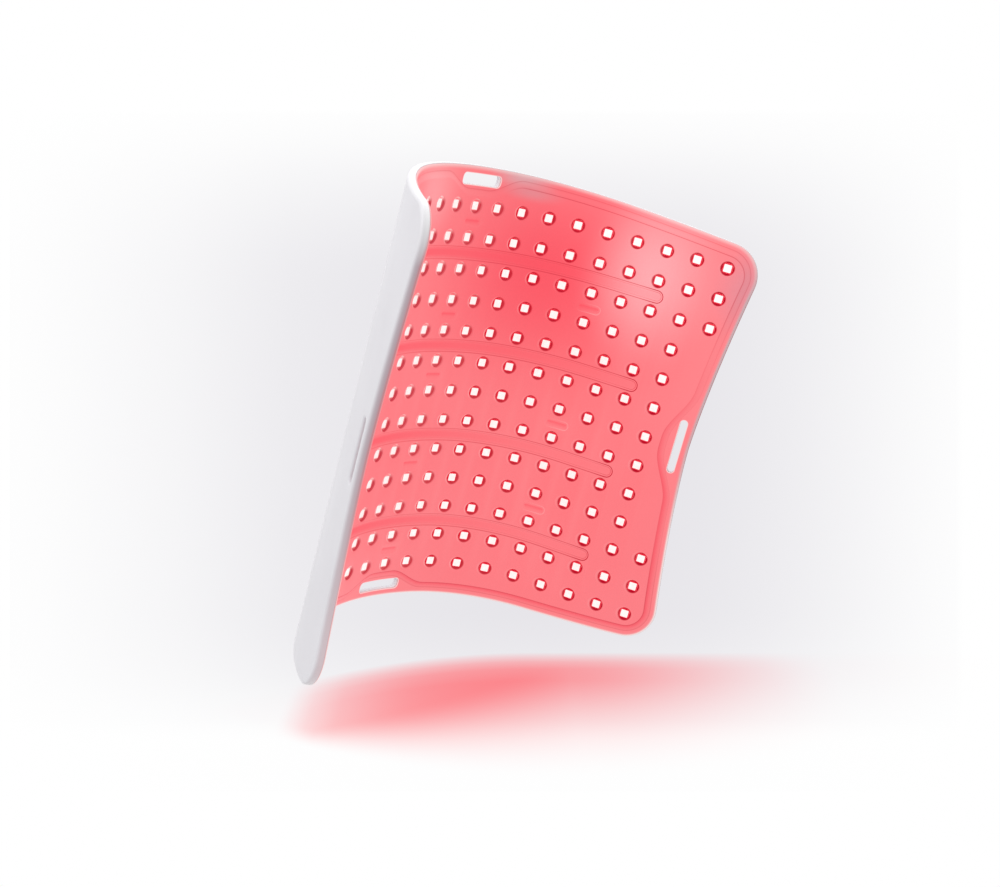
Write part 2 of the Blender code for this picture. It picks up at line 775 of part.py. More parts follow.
BOARD_SIDE_CLEAR = 0.0050
BOARD_END_CLEAR = 0.0040
BOARD_WIDTH = POD_WIDTH - 2 * BOARD_SIDE_CLEAR
BOARD_HEIGHT = POD_HEIGHT - 2 * BOARD_END_CLEAR
BUTTON_FROM_END = 0.0200
LENS_FROM_END = 0.0095
BUTTON_V = POD_HEIGHT / 2 - BUTTON_FROM_END
LENS_V = POD_HEIGHT / 2 - LENS_FROM_END
SWITCH_SIDE = 0.0060
SWITCH_HEIGHT = 0.0010
LAMP_SIDE = 0.0020
LAMP_HEIGHT = 0.0004
COIL_SIDE = 0.0070
COIL_HEIGHT = 0.0022
DRIVER_SIDE = 0.0050
CHARGER_SIDE = 0.0040
CHIP_HEIGHT = 0.0010
CAPACITOR_LENGTH = 0.0032
CAPACITOR_WIDTH = 0.0025
CAPACITOR_HEIGHT = 0.0016
SOCKET_WIDTH = 0.0090
SOCKET_THICKNESS = 0.0032
SOCKET_LENGTH = 0.0074
SOCKET_RECESS = 0.0006
SOCKET_MOUTH = -POD_HEIGHT / 2 + SOCKET_RECESS


# Each chip as (width, height, thickness, and its place on the board as shares of its sizes)

CHIP_PLACE_SHARES = (
    (COIL_SIDE, COIL_SIDE, COIL_HEIGHT, -0.20, 0.10),
    (DRIVER_SIDE, DRIVER_SIDE, CHIP_HEIGHT, 0.20, 0.10),
    (COIL_SIDE, COIL_SIDE, CHIP_HEIGHT, 0.00, -0.08),
    (CHARGER_SIDE, CHARGER_SIDE, CHIP_HEIGHT, 0.23, -0.25),
    (CAPACITOR_LENGTH, CAPACITOR_WIDTH, CAPACITOR_HEIGHT, -0.20, -0.25),
)


def build_board():
    notch_half = SOCKET_WIDTH / 2 + SEAT_GAP
    notch_top = SOCKET_MOUTH + SOCKET_LENGTH + SEAT_GAP
    half_u = BOARD_WIDTH / 2
    half_v = BOARD_HEIGHT / 2
    ring = [
        (half_u, half_v),
        (-half_u, half_v),
        (-half_u, -half_v),
        (-notch_half, -half_v),
        (-notch_half, notch_top),
        (notch_half, notch_top),
        (notch_half, -half_v),
        (half_u, -half_v),
    ]
    front = [("flat", BOARD_FRONT, ring), ("flat", BOARD_FRONT, box(*TAIL_SOCKET, (0, TAIL_V)))]
    back = [("flat", BOARD_BACK, ring)]
    raised = []
    parts = [(SWITCH_SIDE, SWITCH_SIDE, SWITCH_HEIGHT, 0, BUTTON_V)]
    parts.append((LAMP_SIDE, LAMP_SIDE, LAMP_HEIGHT, 0, LENS_V))
    for width, height, thickness, along, up in CHIP_PLACE_SHARES:
        parts.append((width, height, thickness, along * BOARD_WIDTH, up * BOARD_HEIGHT))
    for width, height, thickness, u, v in parts:
        raised.append((len(back), thickness))
        back.append(("flat", BOARD_BACK, box(width, height, (u, v))))
    for place in BOSSES:
        hole = circle(SCREW_HOLE, SMALL_SIDES, place)
        front.append(("hole", None, hole))
        back.append(("hole", None, hole))
    bm = slab(front, back, front_raised=[(1, TAIL_SOCKET_HEIGHT)], back_raised=raised)
    return add_piece("driver_board", bm, GREEN_MASK, pod_frame)


build_board()


def loft(rings):
    """A closed solid through rings of (ring, depth), with a cap on the first and on the last."""
    bm = bmesh.new()
    layers = [[bm.verts.new((u, depth, v)) for u, v in ring] for ring, depth in rings]
    for below, above in zip(layers, layers[1:]):
        count = len(below)
        for index in range(count):
            after = (index + 1) % count
            bm.faces.new((below[index], below[after], above[after], above[index]))
    bm.faces.new(layers[0])
    bm.faces.new(layers[-1])
    bmesh.ops.triangulate(bm, faces=[face for face in bm.faces if len(face.verts) > 4])
    return bm


# Pod cover: a crowned shell with bosses for the screws, and openings for the button,
# the indicator and the socket

SHELL_SHOULDER = 0.0036
SHELL_SOFT = ((0.0, SHELL_SHOULDER), (0.0008, 0.0014), (0.0024, 0.0003), (0.0044, 0.0))
BUTTON_RADIUS = 0.0050
BUTTON_GAP = 0.0003
LENS_RADIUS = 0.0013
COUNTERBORE_RADIUS = 0.0020
COUNTERBORE_DEPTH = 0.0012
CUT_OVERRUN = 0.0010
SOCKET_OPENING = (SOCKET_WIDTH + 2 * SEAT_GAP, SOCKET_THICKNESS + 2 * SEAT_GAP)
SOCKET_DEPTH = (BOARD_FRONT + BOARD_BACK) / 2


def shell_rings(inset, rim, top):
    """Rings up the outside or the inside of the pod cover."""
    rings = []
    for draw_in, below in ((0.0, None),) + SHELL_SOFT:
        size = 2 * (inset + draw_in)
        depth = rim if below is None else top - below
        corner = max(POD_CORNER - inset - draw_in, POD_CORNER / 4)
        rings.append((rounded_box(POD_WIDTH - size, POD_HEIGHT - size, corner, 4), depth))
    return rings


def cutter(name, bm):
    """A hidden tool for a Boolean."""
    tool = add_piece(name, bm, GREY_PLASTIC, pod_frame)
    tool.hide_render = True
    tool.display_type = "WIRE"
    return tool


def join(bodies):
    """Several closed bodies in one bmesh."""
    whole = bmesh.new()
    for body in bodies:
        mesh = bpy.data.meshes.new("body")
        body.to_mesh(mesh)
        body.free()
        whole.from_mesh(mesh)
        bpy.data.meshes.remove(mesh)
    return whole


def boolean(piece, tool, operation):
    """Adds an exact Boolean to a piece."""
    step = piece.modifiers.new(tool.name, "BOOLEAN")
    step.object = tool
    step.operation = operation
    step.solver = "EXACT"


def build_pod_cover():
    outer = loft(shell_rings(0.0, SHELL_RIM, SHELL_BACK))
    shell = add_piece("pod_cover", outer, WHITE_PLASTIC, pod_frame)
    inner = loft(shell_rings(POD_WALL, SHELL_RIM - CUT_OVERRUN, SHELL_INNER))
    boolean(shell, cutter("pod_hollow", inner), "DIFFERENCE")
    boss_from = BOARD_BACK + SEAT_GAP
    boss_to = SHELL_BACK - POD_WALL / 2
    bosses = [
        loft([(circle(BOSS_RADIUS, SMALL_SIDES, place), depth) for depth in (boss_from, boss_to)])
        for place in BOSSES
    ]
    boolean(shell, cutter("pod_bosses", join(bosses)), "UNION")
    over = SHELL_BACK + CUT_OVERRUN
    seat = SHELL_BACK - COUNTERBORE_DEPTH
    cuts = []
    for place in BOSSES:
        steps = [
            (circle(SCREW_HOLE, SMALL_SIDES, place), boss_from - CUT_OVERRUN),
            (circle(SCREW_HOLE, SMALL_SIDES, place), seat),
            (circle(COUNTERBORE_RADIUS, SMALL_SIDES, place), seat),
            (circle(COUNTERBORE_RADIUS, SMALL_SIDES, place), over),
        ]
        cuts.append(loft(steps))
    for radius, sides, v in ((BUTTON_RADIUS, ROUND_SIDES, BUTTON_V), (LENS_RADIUS, SMALL_SIDES, LENS_V)):
        ring = circle(radius + BUTTON_GAP, sides, (0, v))
        cuts.append(loft([(ring, SHELL_INNER - CUT_OVERRUN), (ring, over)]))
    mouth = stadium(*SOCKET_OPENING, 4)
    port = bmesh.new()
    ends = []
    for v in (-POD_HEIGHT / 2 - CUT_OVERRUN, -POD_HEIGHT / 2 + POD_WALL + CUT_OVERRUN):
        ends.append([port.verts.new((u, SOCKET_DEPTH + d, v)) for u, d in mouth])
    for index in range(len(mouth)):
        after = (index + 1) % len(mouth)
        port.faces.new((ends[0][index], ends[0][after], ends[1][after], ends[1][index]))
    port.faces.new(ends[0])
    port.faces.new(ends[1])
    cuts.append(port)
    boolean(shell, cutter("pod_openings", join(cuts)), "DIFFERENCE")
    return shell


build_pod_cover()


def turned(profile, sides):
    """A solid of revolution about the depth axis, through (radius, depth) points from axis to axis."""
    bm = bmesh.new()
    rings = []
    for radius, depth in profile:
        if radius == 0:
            rings.append([bm.verts.new((0, depth, 0))])
        else:
            rings.append([bm.verts.new((u, depth, v)) for u, v in circle(radius, sides)])
    for below, above in zip(rings, rings[1:]):
        for index in range(sides):
            after = (index + 1) % sides
            low = below if len(below) == 1 else [below[index], below[after]]
            high = above if len(above) == 1 else [above[after], above[index]]
            bm.faces.new(low + high)
    return bm


# Power button: a dished cap with a flange inside the shell, over the board's switch

BUTTON_TRAVEL = 0.0006
BUTTON_PROUD = 0.0006
BUTTON_DISH = 0.0003
BUTTON_SOFT = 0.0004
BUTTON_FLANGE = 0.0010
BUTTON_FLANGE_THICKNESS = 0.0008
BUTTON_FOOT = BOARD_BACK + SWITCH_HEIGHT + BUTTON_TRAVEL + SEAT_GAP / 3


def build_button():
    flange_top = SHELL_INNER - SEAT_GAP
    top = SHELL_BACK + BUTTON_PROUD
    flange = BUTTON_RADIUS + BUTTON_FLANGE
    profile = (
        (0, BUTTON_FOOT),
        (flange, BUTTON_FOOT),
        (flange, flange_top),
        (BUTTON_RADIUS, flange_top),
        (BUTTON_RADIUS, top - BUTTON_SOFT),
        (BUTTON_RADIUS - BUTTON_SOFT, top),
        (BUTTON_RADIUS / 2, top - BUTTON_DISH),
        (0, top - BUTTON_DISH),
    )
    button = turned(profile, ROUND_SIDES)
    return add_piece("power_button", button, GREY_PLASTIC, pod_frame, (0, 0, BUTTON_V))


build_button()

# Indicator lens: a light pipe over the board's lamp

LENS_FLANGE = 0.0009
LENS_PROUD = 0.0001


def build_lens():
    flange_top = SHELL_INNER - SEAT_GAP
    top = SHELL_BACK + LENS_PROUD
    profile = (
        (0, BOARD_BACK + LAMP_HEIGHT + SEAT_GAP),
        (LENS_RADIUS, BOARD_BACK + LAMP_HEIGHT + SEAT_GAP),
        (LENS_RADIUS, flange_top - BUTTON_FLANGE_THICKNESS),
        (LENS_RADIUS + LENS_FLANGE, flange_top - BUTTON_FLANGE_THICKNESS),
        (LENS_RADIUS + LENS_FLANGE, flange_top),
        (LENS_RADIUS, flange_top),
        (LENS_RADIUS, top),
        (0, top),
    )
    lens = turned(profile, SMALL_SIDES)
    return add_piece("indicator_lens", lens, CLEAR_PLASTIC, pod_frame, (0, 0, LENS_V))


build_lens()

# Pod screws: pan heads in the shell's counterbores

SCREW_RADIUS = SCREW_HOLE - SEAT_GAP
SCREW_HEAD_RADIUS = COUNTERBORE_RADIUS - SEAT_GAP
SCREW_HEAD_HEIGHT = 0.0008
SCREW_LENGTH = 0.0080
SCREW_POINT = 0.0005


def build_screws():
    seat = SHELL_BACK - COUNTERBORE_DEPTH + SEAT_GAP
    tip = seat - SCREW_LENGTH
    profile = (
        (0, tip),
        (SCREW_RADIUS / 2, tip),
        (SCREW_RADIUS, tip + SCREW_POINT),
        (SCREW_RADIUS, seat),
        (SCREW_HEAD_RADIUS, seat),
        (SCREW_HEAD_RADIUS, seat + SCREW_HEAD_HEIGHT),
        (0, seat + SCREW_HEAD_HEIGHT),
    )
    for number, (u, v) in enumerate(BOSSES, 1):
        screw = turned(profile, SMALL_SIDES)
        add_piece(f"pod_screw_{number}", screw, PLATED_STEEL, pod_frame, (u, 0, v))


build_screws()

# Charge socket: a drawn metal shell with a contact tongue, let into the board's notch

SOCKET_WALL = 0.0003
SOCKET_END = 0.0008
TONGUE_WIDTH = 0.0066
TONGUE_THICKNESS = 0.0007
TONGUE_SETBACK = 0.0008
TONGUE_ROOT = 0.0016


def build_socket():
    outer = stadium(SOCKET_WIDTH, SOCKET_THICKNESS, 4)
    inner = stadium(SOCKET_WIDTH - 2 * SOCKET_WALL, SOCKET_THICKNESS - 2 * SOCKET_WALL, 4)
    rear = SOCKET_MOUTH + SOCKET_LENGTH
    bm = bmesh.new()
    stack = ((outer, rear), (outer, SOCKET_MOUTH), (inner, SOCKET_MOUTH), (inner, rear - SOCKET_END))
    layers = [[bm.verts.new((u, SOCKET_DEPTH + d, v)) for u, d in ring] for ring, v in stack]
    for below, above in zip(layers, layers[1:]):
        for index in range(len(outer)):
            after = (index + 1) % len(outer)
            bm.faces.new((below[index], below[after], above[after], above[index]))
    bm.faces.new(layers[0])
    bm.faces.new(layers[-1])
    add_piece("socket_shell", bm, PLATED_STEEL, pod_frame)
    root_width = SOCKET_WIDTH - 2 * SOCKET_WALL - SOCKET_THICKNESS
    root_thickness = SOCKET_THICKNESS - 2 * SOCKET_WALL - 2 * SEAT_GAP
    root_from = rear - SOCKET_END - SEAT_GAP
    root_to = root_from - TONGUE_ROOT
    tip = SOCKET_MOUTH + TONGUE_SETBACK
    bm = bmesh.new()
    stack = (
        (box(root_width, root_thickness), root_from),
        (box(root_width, root_thickness), root_to),
        (box(TONGUE_WIDTH - root_thickness, TONGUE_THICKNESS), root_to),
        (box(TONGUE_WIDTH - root_thickness, TONGUE_THICKNESS), tip),
    )
    layers = [[bm.verts.new((u, SOCKET_DEPTH + d, v)) for u, d in ring] for ring, v in stack]
    for below, above in zip(layers, layers[1:]):
        for index in range(4):
            after = (index + 1) % 4
            bm.faces.new((below[index], below[after], above[after], above[index]))
    bm.faces.new(layers[0])
    bm.faces.new(layers[-1])
    add_piece("socket_tongue", bm, BLACK_PLASTIC, pod_frame)


build_socket()

# The stand: both free edges face the front, and the panel leans until its lower corners and the
# middle of its lower edge touch the floor together

def standing_lean(points):
    """The lean about X that brings the lowest points before and behind the middle level."""
    middle = sum(point.y for point in points) / len(points)
    low = [point for point in points if point.z < 0]
    ahead = [point for point in low if point.y < middle]
    behind = [point for point in low if point.y >= middle]
    best = None
    for a in ahead:
        for b in behind:
            height = a.z + (b.z - a.z) * (middle - a.y) / (b.y - a.y)
            if best is None or height < best[0]:
                best = (height, math.atan2(b.z - a.z, b.y - a.y))
    return -best[1]


def stand_panel():
    facing = Matrix.Rotation(FACING, 4, "Z")
    points = [facing @ vert.co for vert in back_cover.data.vertices]
    lean = Matrix.Rotation(standing_lean(points), 4, "X")
    panel_frame.matrix_world = lean @ facing
    bpy.context.view_layer.update()
    corners = []
    for piece in bpy.data.objects:
        if piece.type == "MESH" and not piece.hide_render:
            corners += [piece.matrix_world @ vert.co for vert in piece.data.vertices]
    lows = [min(corner[axis] for corner in corners) for axis in range(3)]
    highs = [max(corner[axis] for corner in corners) for axis in range(3)]
    middle = Vector(((lows[0] + highs[0]) / 2, (lows[1] + highs[1]) / 2, lows[2]))
    panel_frame.matrix_world = Matrix.Translation(-middle) @ lean @ facing
    bpy.context.view_layer.update()


stand_panel()
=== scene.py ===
"""The finished look of the LED light therapy panel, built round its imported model.

Sizes of the flat panel are in millimetres, on axes u along the width, v up the height and d through
the thickness, front to back. Each layer is laid out flat and bent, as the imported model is.
"""

import json
import math

import bmesh
import bpy
from mathutils import Matrix, Vector
from mathutils.geometry import delaunay_2d_cdt

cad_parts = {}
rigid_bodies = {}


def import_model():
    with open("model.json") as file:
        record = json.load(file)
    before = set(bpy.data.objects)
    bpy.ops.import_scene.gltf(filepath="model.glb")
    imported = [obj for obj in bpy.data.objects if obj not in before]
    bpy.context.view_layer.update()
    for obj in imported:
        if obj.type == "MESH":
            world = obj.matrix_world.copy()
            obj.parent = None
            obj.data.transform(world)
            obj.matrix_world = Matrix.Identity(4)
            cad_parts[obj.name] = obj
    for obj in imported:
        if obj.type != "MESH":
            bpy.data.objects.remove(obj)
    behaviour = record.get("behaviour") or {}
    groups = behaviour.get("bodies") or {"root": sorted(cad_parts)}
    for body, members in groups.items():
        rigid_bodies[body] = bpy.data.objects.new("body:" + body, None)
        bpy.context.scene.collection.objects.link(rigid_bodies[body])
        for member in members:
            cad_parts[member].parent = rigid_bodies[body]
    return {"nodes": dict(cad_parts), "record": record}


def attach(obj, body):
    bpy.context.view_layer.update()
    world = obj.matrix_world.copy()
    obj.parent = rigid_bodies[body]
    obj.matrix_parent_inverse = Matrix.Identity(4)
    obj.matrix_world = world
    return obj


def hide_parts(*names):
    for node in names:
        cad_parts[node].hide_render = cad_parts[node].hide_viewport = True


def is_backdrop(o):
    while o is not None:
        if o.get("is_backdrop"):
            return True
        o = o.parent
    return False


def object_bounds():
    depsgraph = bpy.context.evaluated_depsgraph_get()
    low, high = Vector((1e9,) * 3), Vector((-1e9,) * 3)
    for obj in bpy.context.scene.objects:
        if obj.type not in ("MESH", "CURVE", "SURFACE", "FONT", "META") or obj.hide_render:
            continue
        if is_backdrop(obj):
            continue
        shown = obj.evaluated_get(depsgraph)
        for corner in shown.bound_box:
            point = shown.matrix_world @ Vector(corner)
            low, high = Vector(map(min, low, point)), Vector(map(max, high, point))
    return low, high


for old in list(bpy.data.objects):
    bpy.data.objects.remove(old, do_unlink=True)
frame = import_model()
cad_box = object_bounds()
scene = bpy.context.scene
scene.view_settings.view_transform = "Standard"

# Camera: a longer lens from the left of the panel, a little above its middle and rolled, as found
# from the places of the LEDs in the photograph.

CAMERA_PLACE = (-0.5545, -0.5163, 0.2565)
CAMERA_TURN = (78.276, -11.299, -45.504)
CAMERA_LENS = 56.94
SENSOR_WIDTH = 36.0

camera = bpy.data.objects.new("camera", bpy.data.cameras.new("camera"))
scene.collection.objects.link(camera)
camera.data.lens = CAMERA_LENS
camera.data.sensor_fit = "HORIZONTAL"
camera.data.sensor_width = SENSOR_WIDTH
camera.location = CAMERA_PLACE
camera.rotation_euler = [math.radians(turn) for turn in CAMERA_TURN]
bpy.context.view_layer.update()
scene.camera = camera

# Front skin: an injection-moulded sheet of translucent silicone, a raised field on a thin flange.
# Each LED looks out of a round well in it, long grooves cross it between the LED bands, and short
# grooves tack it down between the rows of a band. The LEDs behind light the whole sheet coral.

MM = 0.001
PANEL_WIDTH = 323.0
PANEL_HEIGHT = 231.0
LONG_EDGE_CROWN = 8.0
SHORT_EDGE_WAIST = 10.0
WAIST_REACH = 100.0
WAIST_POWER = 1.5
# A corner's arc runs smoothly into both edges, and its middle is found in a few tries
CORNER_RADIUS = 17.0
CORNER_STEPS = 14
CORNER_TRIES = 12
EDGE_STEP = 2.0
# Points of a ring nearer than this are one, and a level run ends this share of a step early
TOUCHING = 0.0001
LEVEL_SPARE_SHARE = 0.01

FLARE_LENGTH = 30.0
FLARE_TURN = -9
POD_STRETCH = 42.0
ARC_LENGTH_SHARES = (0.264, 0.384, 0.352)
ARC_TURNS = (55, 47, 26)
PANEL_BACK = 4.5
POD_THICKNESS = 10.2
POD_U = PANEL_WIDTH / 2 - FLARE_LENGTH - POD_STRETCH / 2
POD_BACK = PANEL_BACK + POD_THICKNESS
POD_FACE_POINT = (POD_U, -10.0, POD_BACK)

PITCH = 16.0
COLUMNS = 19
BAND_ROWS = (2, 3, 3, 3, 2)
END_COLUMN_ROWS = 3
ROWS = sum(BAND_ROWS)

LONG_SLOT = (29.0, 5.8)
LONG_SLOT_BRIDGE = 3.7
LONG_SLOT_CORNER = 2.2
LONG_SLOT_STEPS = 5
LONG_SLOT_V = PANEL_HEIGHT / 2 - LONG_SLOT_BRIDGE - LONG_SLOT[1] / 2
SHORT_SLOT = (29.0, 3.9)
SHORT_SLOT_BRIDGE = 4.1
SHORT_SLOT_STEPS = 6
SHORT_SLOT_U = PANEL_WIDTH / 2 - SHORT_EDGE_WAIST - SHORT_SLOT_BRIDGE - SHORT_SLOT[1] / 2

SKIN_INSET = 0.3
SKIN_BACK = 1.0
FIELD_FRONT = -1.2
SHOULDER_OUTER = 3.5
SHOULDER_INNER = 6.7
# A lobe dips round a slot by its depth, flat to the first distance and gone at the second
LONG_LOBE = 7.9
LONG_LOBE_SPAN = (7.25, 30.0)
SHORT_LOBE = 8.4
SHORT_LOBE_SPAN = (3.48, 30.5)

# A ring through the shoulder is (share of its slope, share of the rise, painted crimson shade line,
# painted deep red shade)
SHOULDER_SHARES = (
    (-0.12, 0.0, 0.0, 0.0),
    (0.0, 0.02, 0.36, 0.05),
    (0.12, 0.10, 0.04, 0.15),
    (0.5, 0.5, 0.0, 0.4),
    (0.88, 0.90, 0.05, 0.65),
    (1.0, 0.98, 0.55, 0.5),
    (1.12, 1.0, 0.0, 0.1),
)
# A ring round the skin's own edge is (inset, depth, share of unlit grey), and the grey fades out
SKIN_EDGE = ((1.3, 0.0, 0.35), (0.8, 0.03, 0.75), (0.4, 0.12, 1.0), (0.0, 0.45, 1.0))
SKIN_FADE = 2.3
# A ring round a strap slot is (distance from the slot, depth, share of caught light)
SLOT_EDGE = ((0.45, 0.0, 0.0), (0.25, 0.03, 0.5), (0.0, 0.12, 0.9))

GROOVE_WIDTH = 6.6
GROOVE_LENGTH = 233.6
GROOVE_DEPTH = 0.6
GROOVE_STEPS = 5
TACK_WIDTH = 4.6
TACK_LENGTH = 13.0
TACK_OFFSET = PANEL_WIDTH / 4
BAND_TACKS = ((0,), (TACK_OFFSET, 0), (0, TACK_OFFSET), (0, TACK_OFFSET), (0,))
# A ring down a groove's side is (inset, share of its depth, its painted crimson shade line, share of
# painted deep red shade)
GROOVE_SIDE = (
    (-0.25, 0.0, 0.0, 0.0),
    (0.0, 0.06, 0.9, 0.1),
    (0.25, 0.25, 0.35, 0.1),
    (0.45, 0.45, 0.0, 0.06),
    (0.8, 0.72, 0.0, 0.06),
    (1.05, 0.88, 0.4, 0.15),
    (1.3, 0.97, 0.0, 0.3),
    (2.3, 1.0, 0.0, 0.55),
)
# A ring down a tack's side is (inset, share of its depth, painted highlight, painted deep red shade)
TACK_SIDE = (
    (-0.25, 0.0, 0.0, 0.0),
    (0.0, 0.06, 0.3, 0.0),
    (0.3, 0.3, 0.05, 0.0),
    (1.0, 0.9, 0.0, 0.1),
    (1.6, 1.0, 0.0, 0.5),
)

# A ring down a well is (radius, depth under the field, painted crimson shade on its near and on its
# far side, painted caught light)
WELL_DISH = (
    (4.9, 0.0, 0.0, 0.0, 0.0),
    (4.65, 0.03, 0.0, 0.0, 0.5),
    (4.3, 0.1, 0.0, 0.0, 1.0),
    (4.0, 0.18, 0.08, 0.0, 0.6),
    (3.76, 0.28, 0.4, 0.0, 0.3),
    (3.62, 0.5, 0.8, 0.1, 0.0),
    (3.5, 0.8, 0.95, 0.4, 0.0),
    (3.38, 1.2, 1.0, 0.7, 0.0),
)
# Outside its wall's radius a well is squashed along v, and inside its floor's it narrows to a square
WELL_TOP = WELL_DISH[0][0]
WELL_WALL = 3.75
WELL_FLOOR = 3.4
WELL_SQUASH = 0.5
WELL_SIDES = 24
SEAT_HALF = 2.7
SEAT_TOP = 0.6


def bend_point(u):
    """Plan position and heading of the bent panel's front at u, from its right edge."""
    rest = PANEL_WIDTH - FLARE_LENGTH - POD_STRETCH
    spans = [(FLARE_LENGTH, FLARE_TURN), (POD_STRETCH, 0)]
    spans += [(rest * share, turn) for share, turn in zip(ARC_LENGTH_SHARES, ARC_TURNS)]
    x, y, heading = 0.0, 0.0, 0.0
    left = PANEL_WIDTH / 2 - u
    for index, (length, turn) in enumerate(spans):
        run = left if index == len(spans) - 1 else min(left, length)
        if turn:
            radius = length / math.radians(turn)
            ahead = heading + run / radius
            x -= radius * (math.sin(ahead) - math.sin(heading))
            y += radius * (math.cos(ahead) - math.cos(heading))
            heading = ahead
        else:
            x -= run * math.cos(heading)
            y -= run * math.sin(heading)
        left -= run
        if left <= 0:
            break
    return x, y, heading


def bent(u, v, d):
    """A point of the bent panel before it is stood up, in metres."""
    x, y, heading = bend_point(u)
    return Vector((x - d * math.sin(heading), y + d * math.cos(heading), v)) * MM


def standing():
    """The matrix that stands the bent panel in the frame, read from two of the model's mounts."""
    mounts = {mount["name"]: mount for mount in frame["record"]["mounts"]}
    down = mounts["strap_slot_top"]["axis"]
    lean = Matrix.Rotation(math.atan2(down[1], -down[2]), 4, "X")
    left, right = bend_point(-PANEL_WIDTH / 2), bend_point(PANEL_WIDTH / 2)
    turned = lean @ Matrix.Rotation(-math.atan2(right[1] - left[1], right[0] - left[0]), 4, "Z")
    pod_face = Vector(mounts["pod_face"]["pos_m"])
    return Matrix.Translation(pod_face - turned @ bent(*POD_FACE_POINT)) @ turned


STANDING = standing()


def placed(u, v, d):
    """A point of the flat panel, in metres in the frame."""
    return STANDING @ bent(u, v, d)


def eased(distance, span):
    """One up to the span's start, nothing past its end, and a smooth fall between them."""
    share = min(max((span[1] - abs(distance)) / (span[1] - span[0]), 0.0), 1.0)
    return share * share * (3 - 2 * share)


def edge_steps(end):
    """Every step from the middle of an edge, up to one step short of its end."""
    return [step * EDGE_STEP for step in range(math.ceil(end / EDGE_STEP - 1))]


def panel_ring(inset, long_lobe=0.0, short_lobe=0.0):
    """The panel's outline drawn in by inset, with a lobe round each slot, counter-clockwise."""

    def top(u):
        crown = LONG_EDGE_CROWN * (2 * u / PANEL_WIDTH) ** 2
        return PANEL_HEIGHT / 2 - inset - crown - long_lobe * eased(u, LONG_LOBE_SPAN)

    def side(v):
        waist = SHORT_EDGE_WAIST * (1 - (abs(v) / WAIST_REACH) ** WAIST_POWER)
        return PANEL_WIDTH / 2 - inset - waist - short_lobe * eased(v, SHORT_LOBE_SPAN)

    def slope(curve, at, probe=0.01):
        return (curve(at + probe) - curve(at - probe)) / (2 * probe)

    radius = CORNER_RADIUS - inset
    top_u = PANEL_WIDTH / 2 - CORNER_RADIUS
    side_v = PANEL_HEIGHT / 2 - CORNER_RADIUS
    for _ in range(CORNER_TRIES):
        top_normal = Vector((-slope(top, top_u), 1)).normalized()
        side_normal = Vector((1, -slope(side, side_v))).normalized()
        centre = Vector((top_u, top(top_u))) - radius * top_normal
        from_side = Vector((side(side_v), side_v)) - radius * side_normal
        top_u += from_side.x - centre.x
        side_v += centre.y - from_side.y
    quarter = [(at, top(at)) for at in edge_steps(top_u)]
    start = math.atan2(top_normal.y, top_normal.x)
    end = math.atan2(side_normal.y, side_normal.x)
    for turn in range(CORNER_STEPS + 1):
        angle = start + (end - start) * turn / CORNER_STEPS
        quarter.append((centre.x + radius * math.cos(angle), centre.y + radius * math.sin(angle)))
    quarter += [(side(at), at) for at in reversed(edge_steps(side_v))]
    right = quarter + [(u, -v) for u, v in reversed(quarter[:-1])]
    left = [(-u, v) for u, v in reversed(right[1:-1])]
    return list(reversed(right + left))


def bar_ring(length, width, radius, centre, steps):
    """A bar along u with corners of the given radius, counter-clockwise. Its level runs have a
    point at every second edge step from their middle, where the bend lines cross them."""
    radius = min(radius, length / 2, width / 2)
    ring = []
    for quarter, (side_u, side_v) in enumerate(((1, 1), (-1, 1), (-1, -1), (1, -1))):
        corner_u = side_u * (length / 2 - radius)
        corner_v = side_v * (width / 2 - radius)
        for step in range(steps + 1):
            angle = (quarter + step / steps) * math.pi / 2
            ring.append((corner_u + radius * math.cos(angle), corner_v + radius * math.sin(angle)))
        level = 2 * EDGE_STEP
        reach = int(abs(corner_u) / level - LEVEL_SPARE_SHARE) if quarter in (0, 2) else -1
        ring += [(-side_u * step * level, ring[-1][1]) for step in range(-reach, reach + 1)]
    pairs = zip(ring, ring[1:] + ring[:1])
    return [(centre[0] + u, centre[1] + v) for (u, v), after in pairs if math.dist((u, v), after) > TOUCHING]


def round_ring(radius, centre, sides=WELL_SIDES, tall=None):
    """A circle, or an oval with a reach of its own along v."""
    turns = [side / sides * math.tau for side in range(sides)]
    return [
        (centre[0] + radius * math.cos(turn), centre[1] + (tall or radius) * math.sin(turn))
        for turn in turns
    ]


def well_ring(radius, centre):
    """A ring of a well: round at its wall, and drawn in towards the grooves in the dish round it."""
    tall = min(radius, WELL_WALL + (radius - WELL_WALL) * WELL_SQUASH)
    return round_ring(radius, centre, tall=tall)


def square_ring(half, centre):
    """A square with as many points as a well's ring, on the same bearings."""
    ring = []
    for u, v in round_ring(1.0, (0.0, 0.0)):
        reach = half / max(abs(u), abs(v))
        ring.append((centre[0] + u * reach, centre[1] + v * reach))
    return ring


def slot_rings(grown):
    """The outlines of the four strap slots, grown by a distance: top, bottom, right and left."""
    length, width = (size + 2 * grown for size in LONG_SLOT)
    rings = [
        bar_ring(length, width, LONG_SLOT_CORNER + grown, (0, side * LONG_SLOT_V), LONG_SLOT_STEPS)
        for side in (1, -1)
    ]
    length, width = (size + 2 * grown for size in SHORT_SLOT)
    bar = bar_ring(length, width, width / 2, (0, 0), SHORT_SLOT_STEPS)
    return rings + [[(side * SHORT_SLOT_U + v, -u) for u, v in bar] for side in (1, -1)]


def row_height(row):
    return ((ROWS - 1) / 2 - row) * PITCH


def half_columns(row):
    """How many columns a row has beside its middle one; the middle rows lack the end columns."""
    ends = row < END_COLUMN_ROWS or row >= ROWS - END_COLUMN_ROWS
    return (COLUMNS - 1) // 2 - (0 if ends else 1)


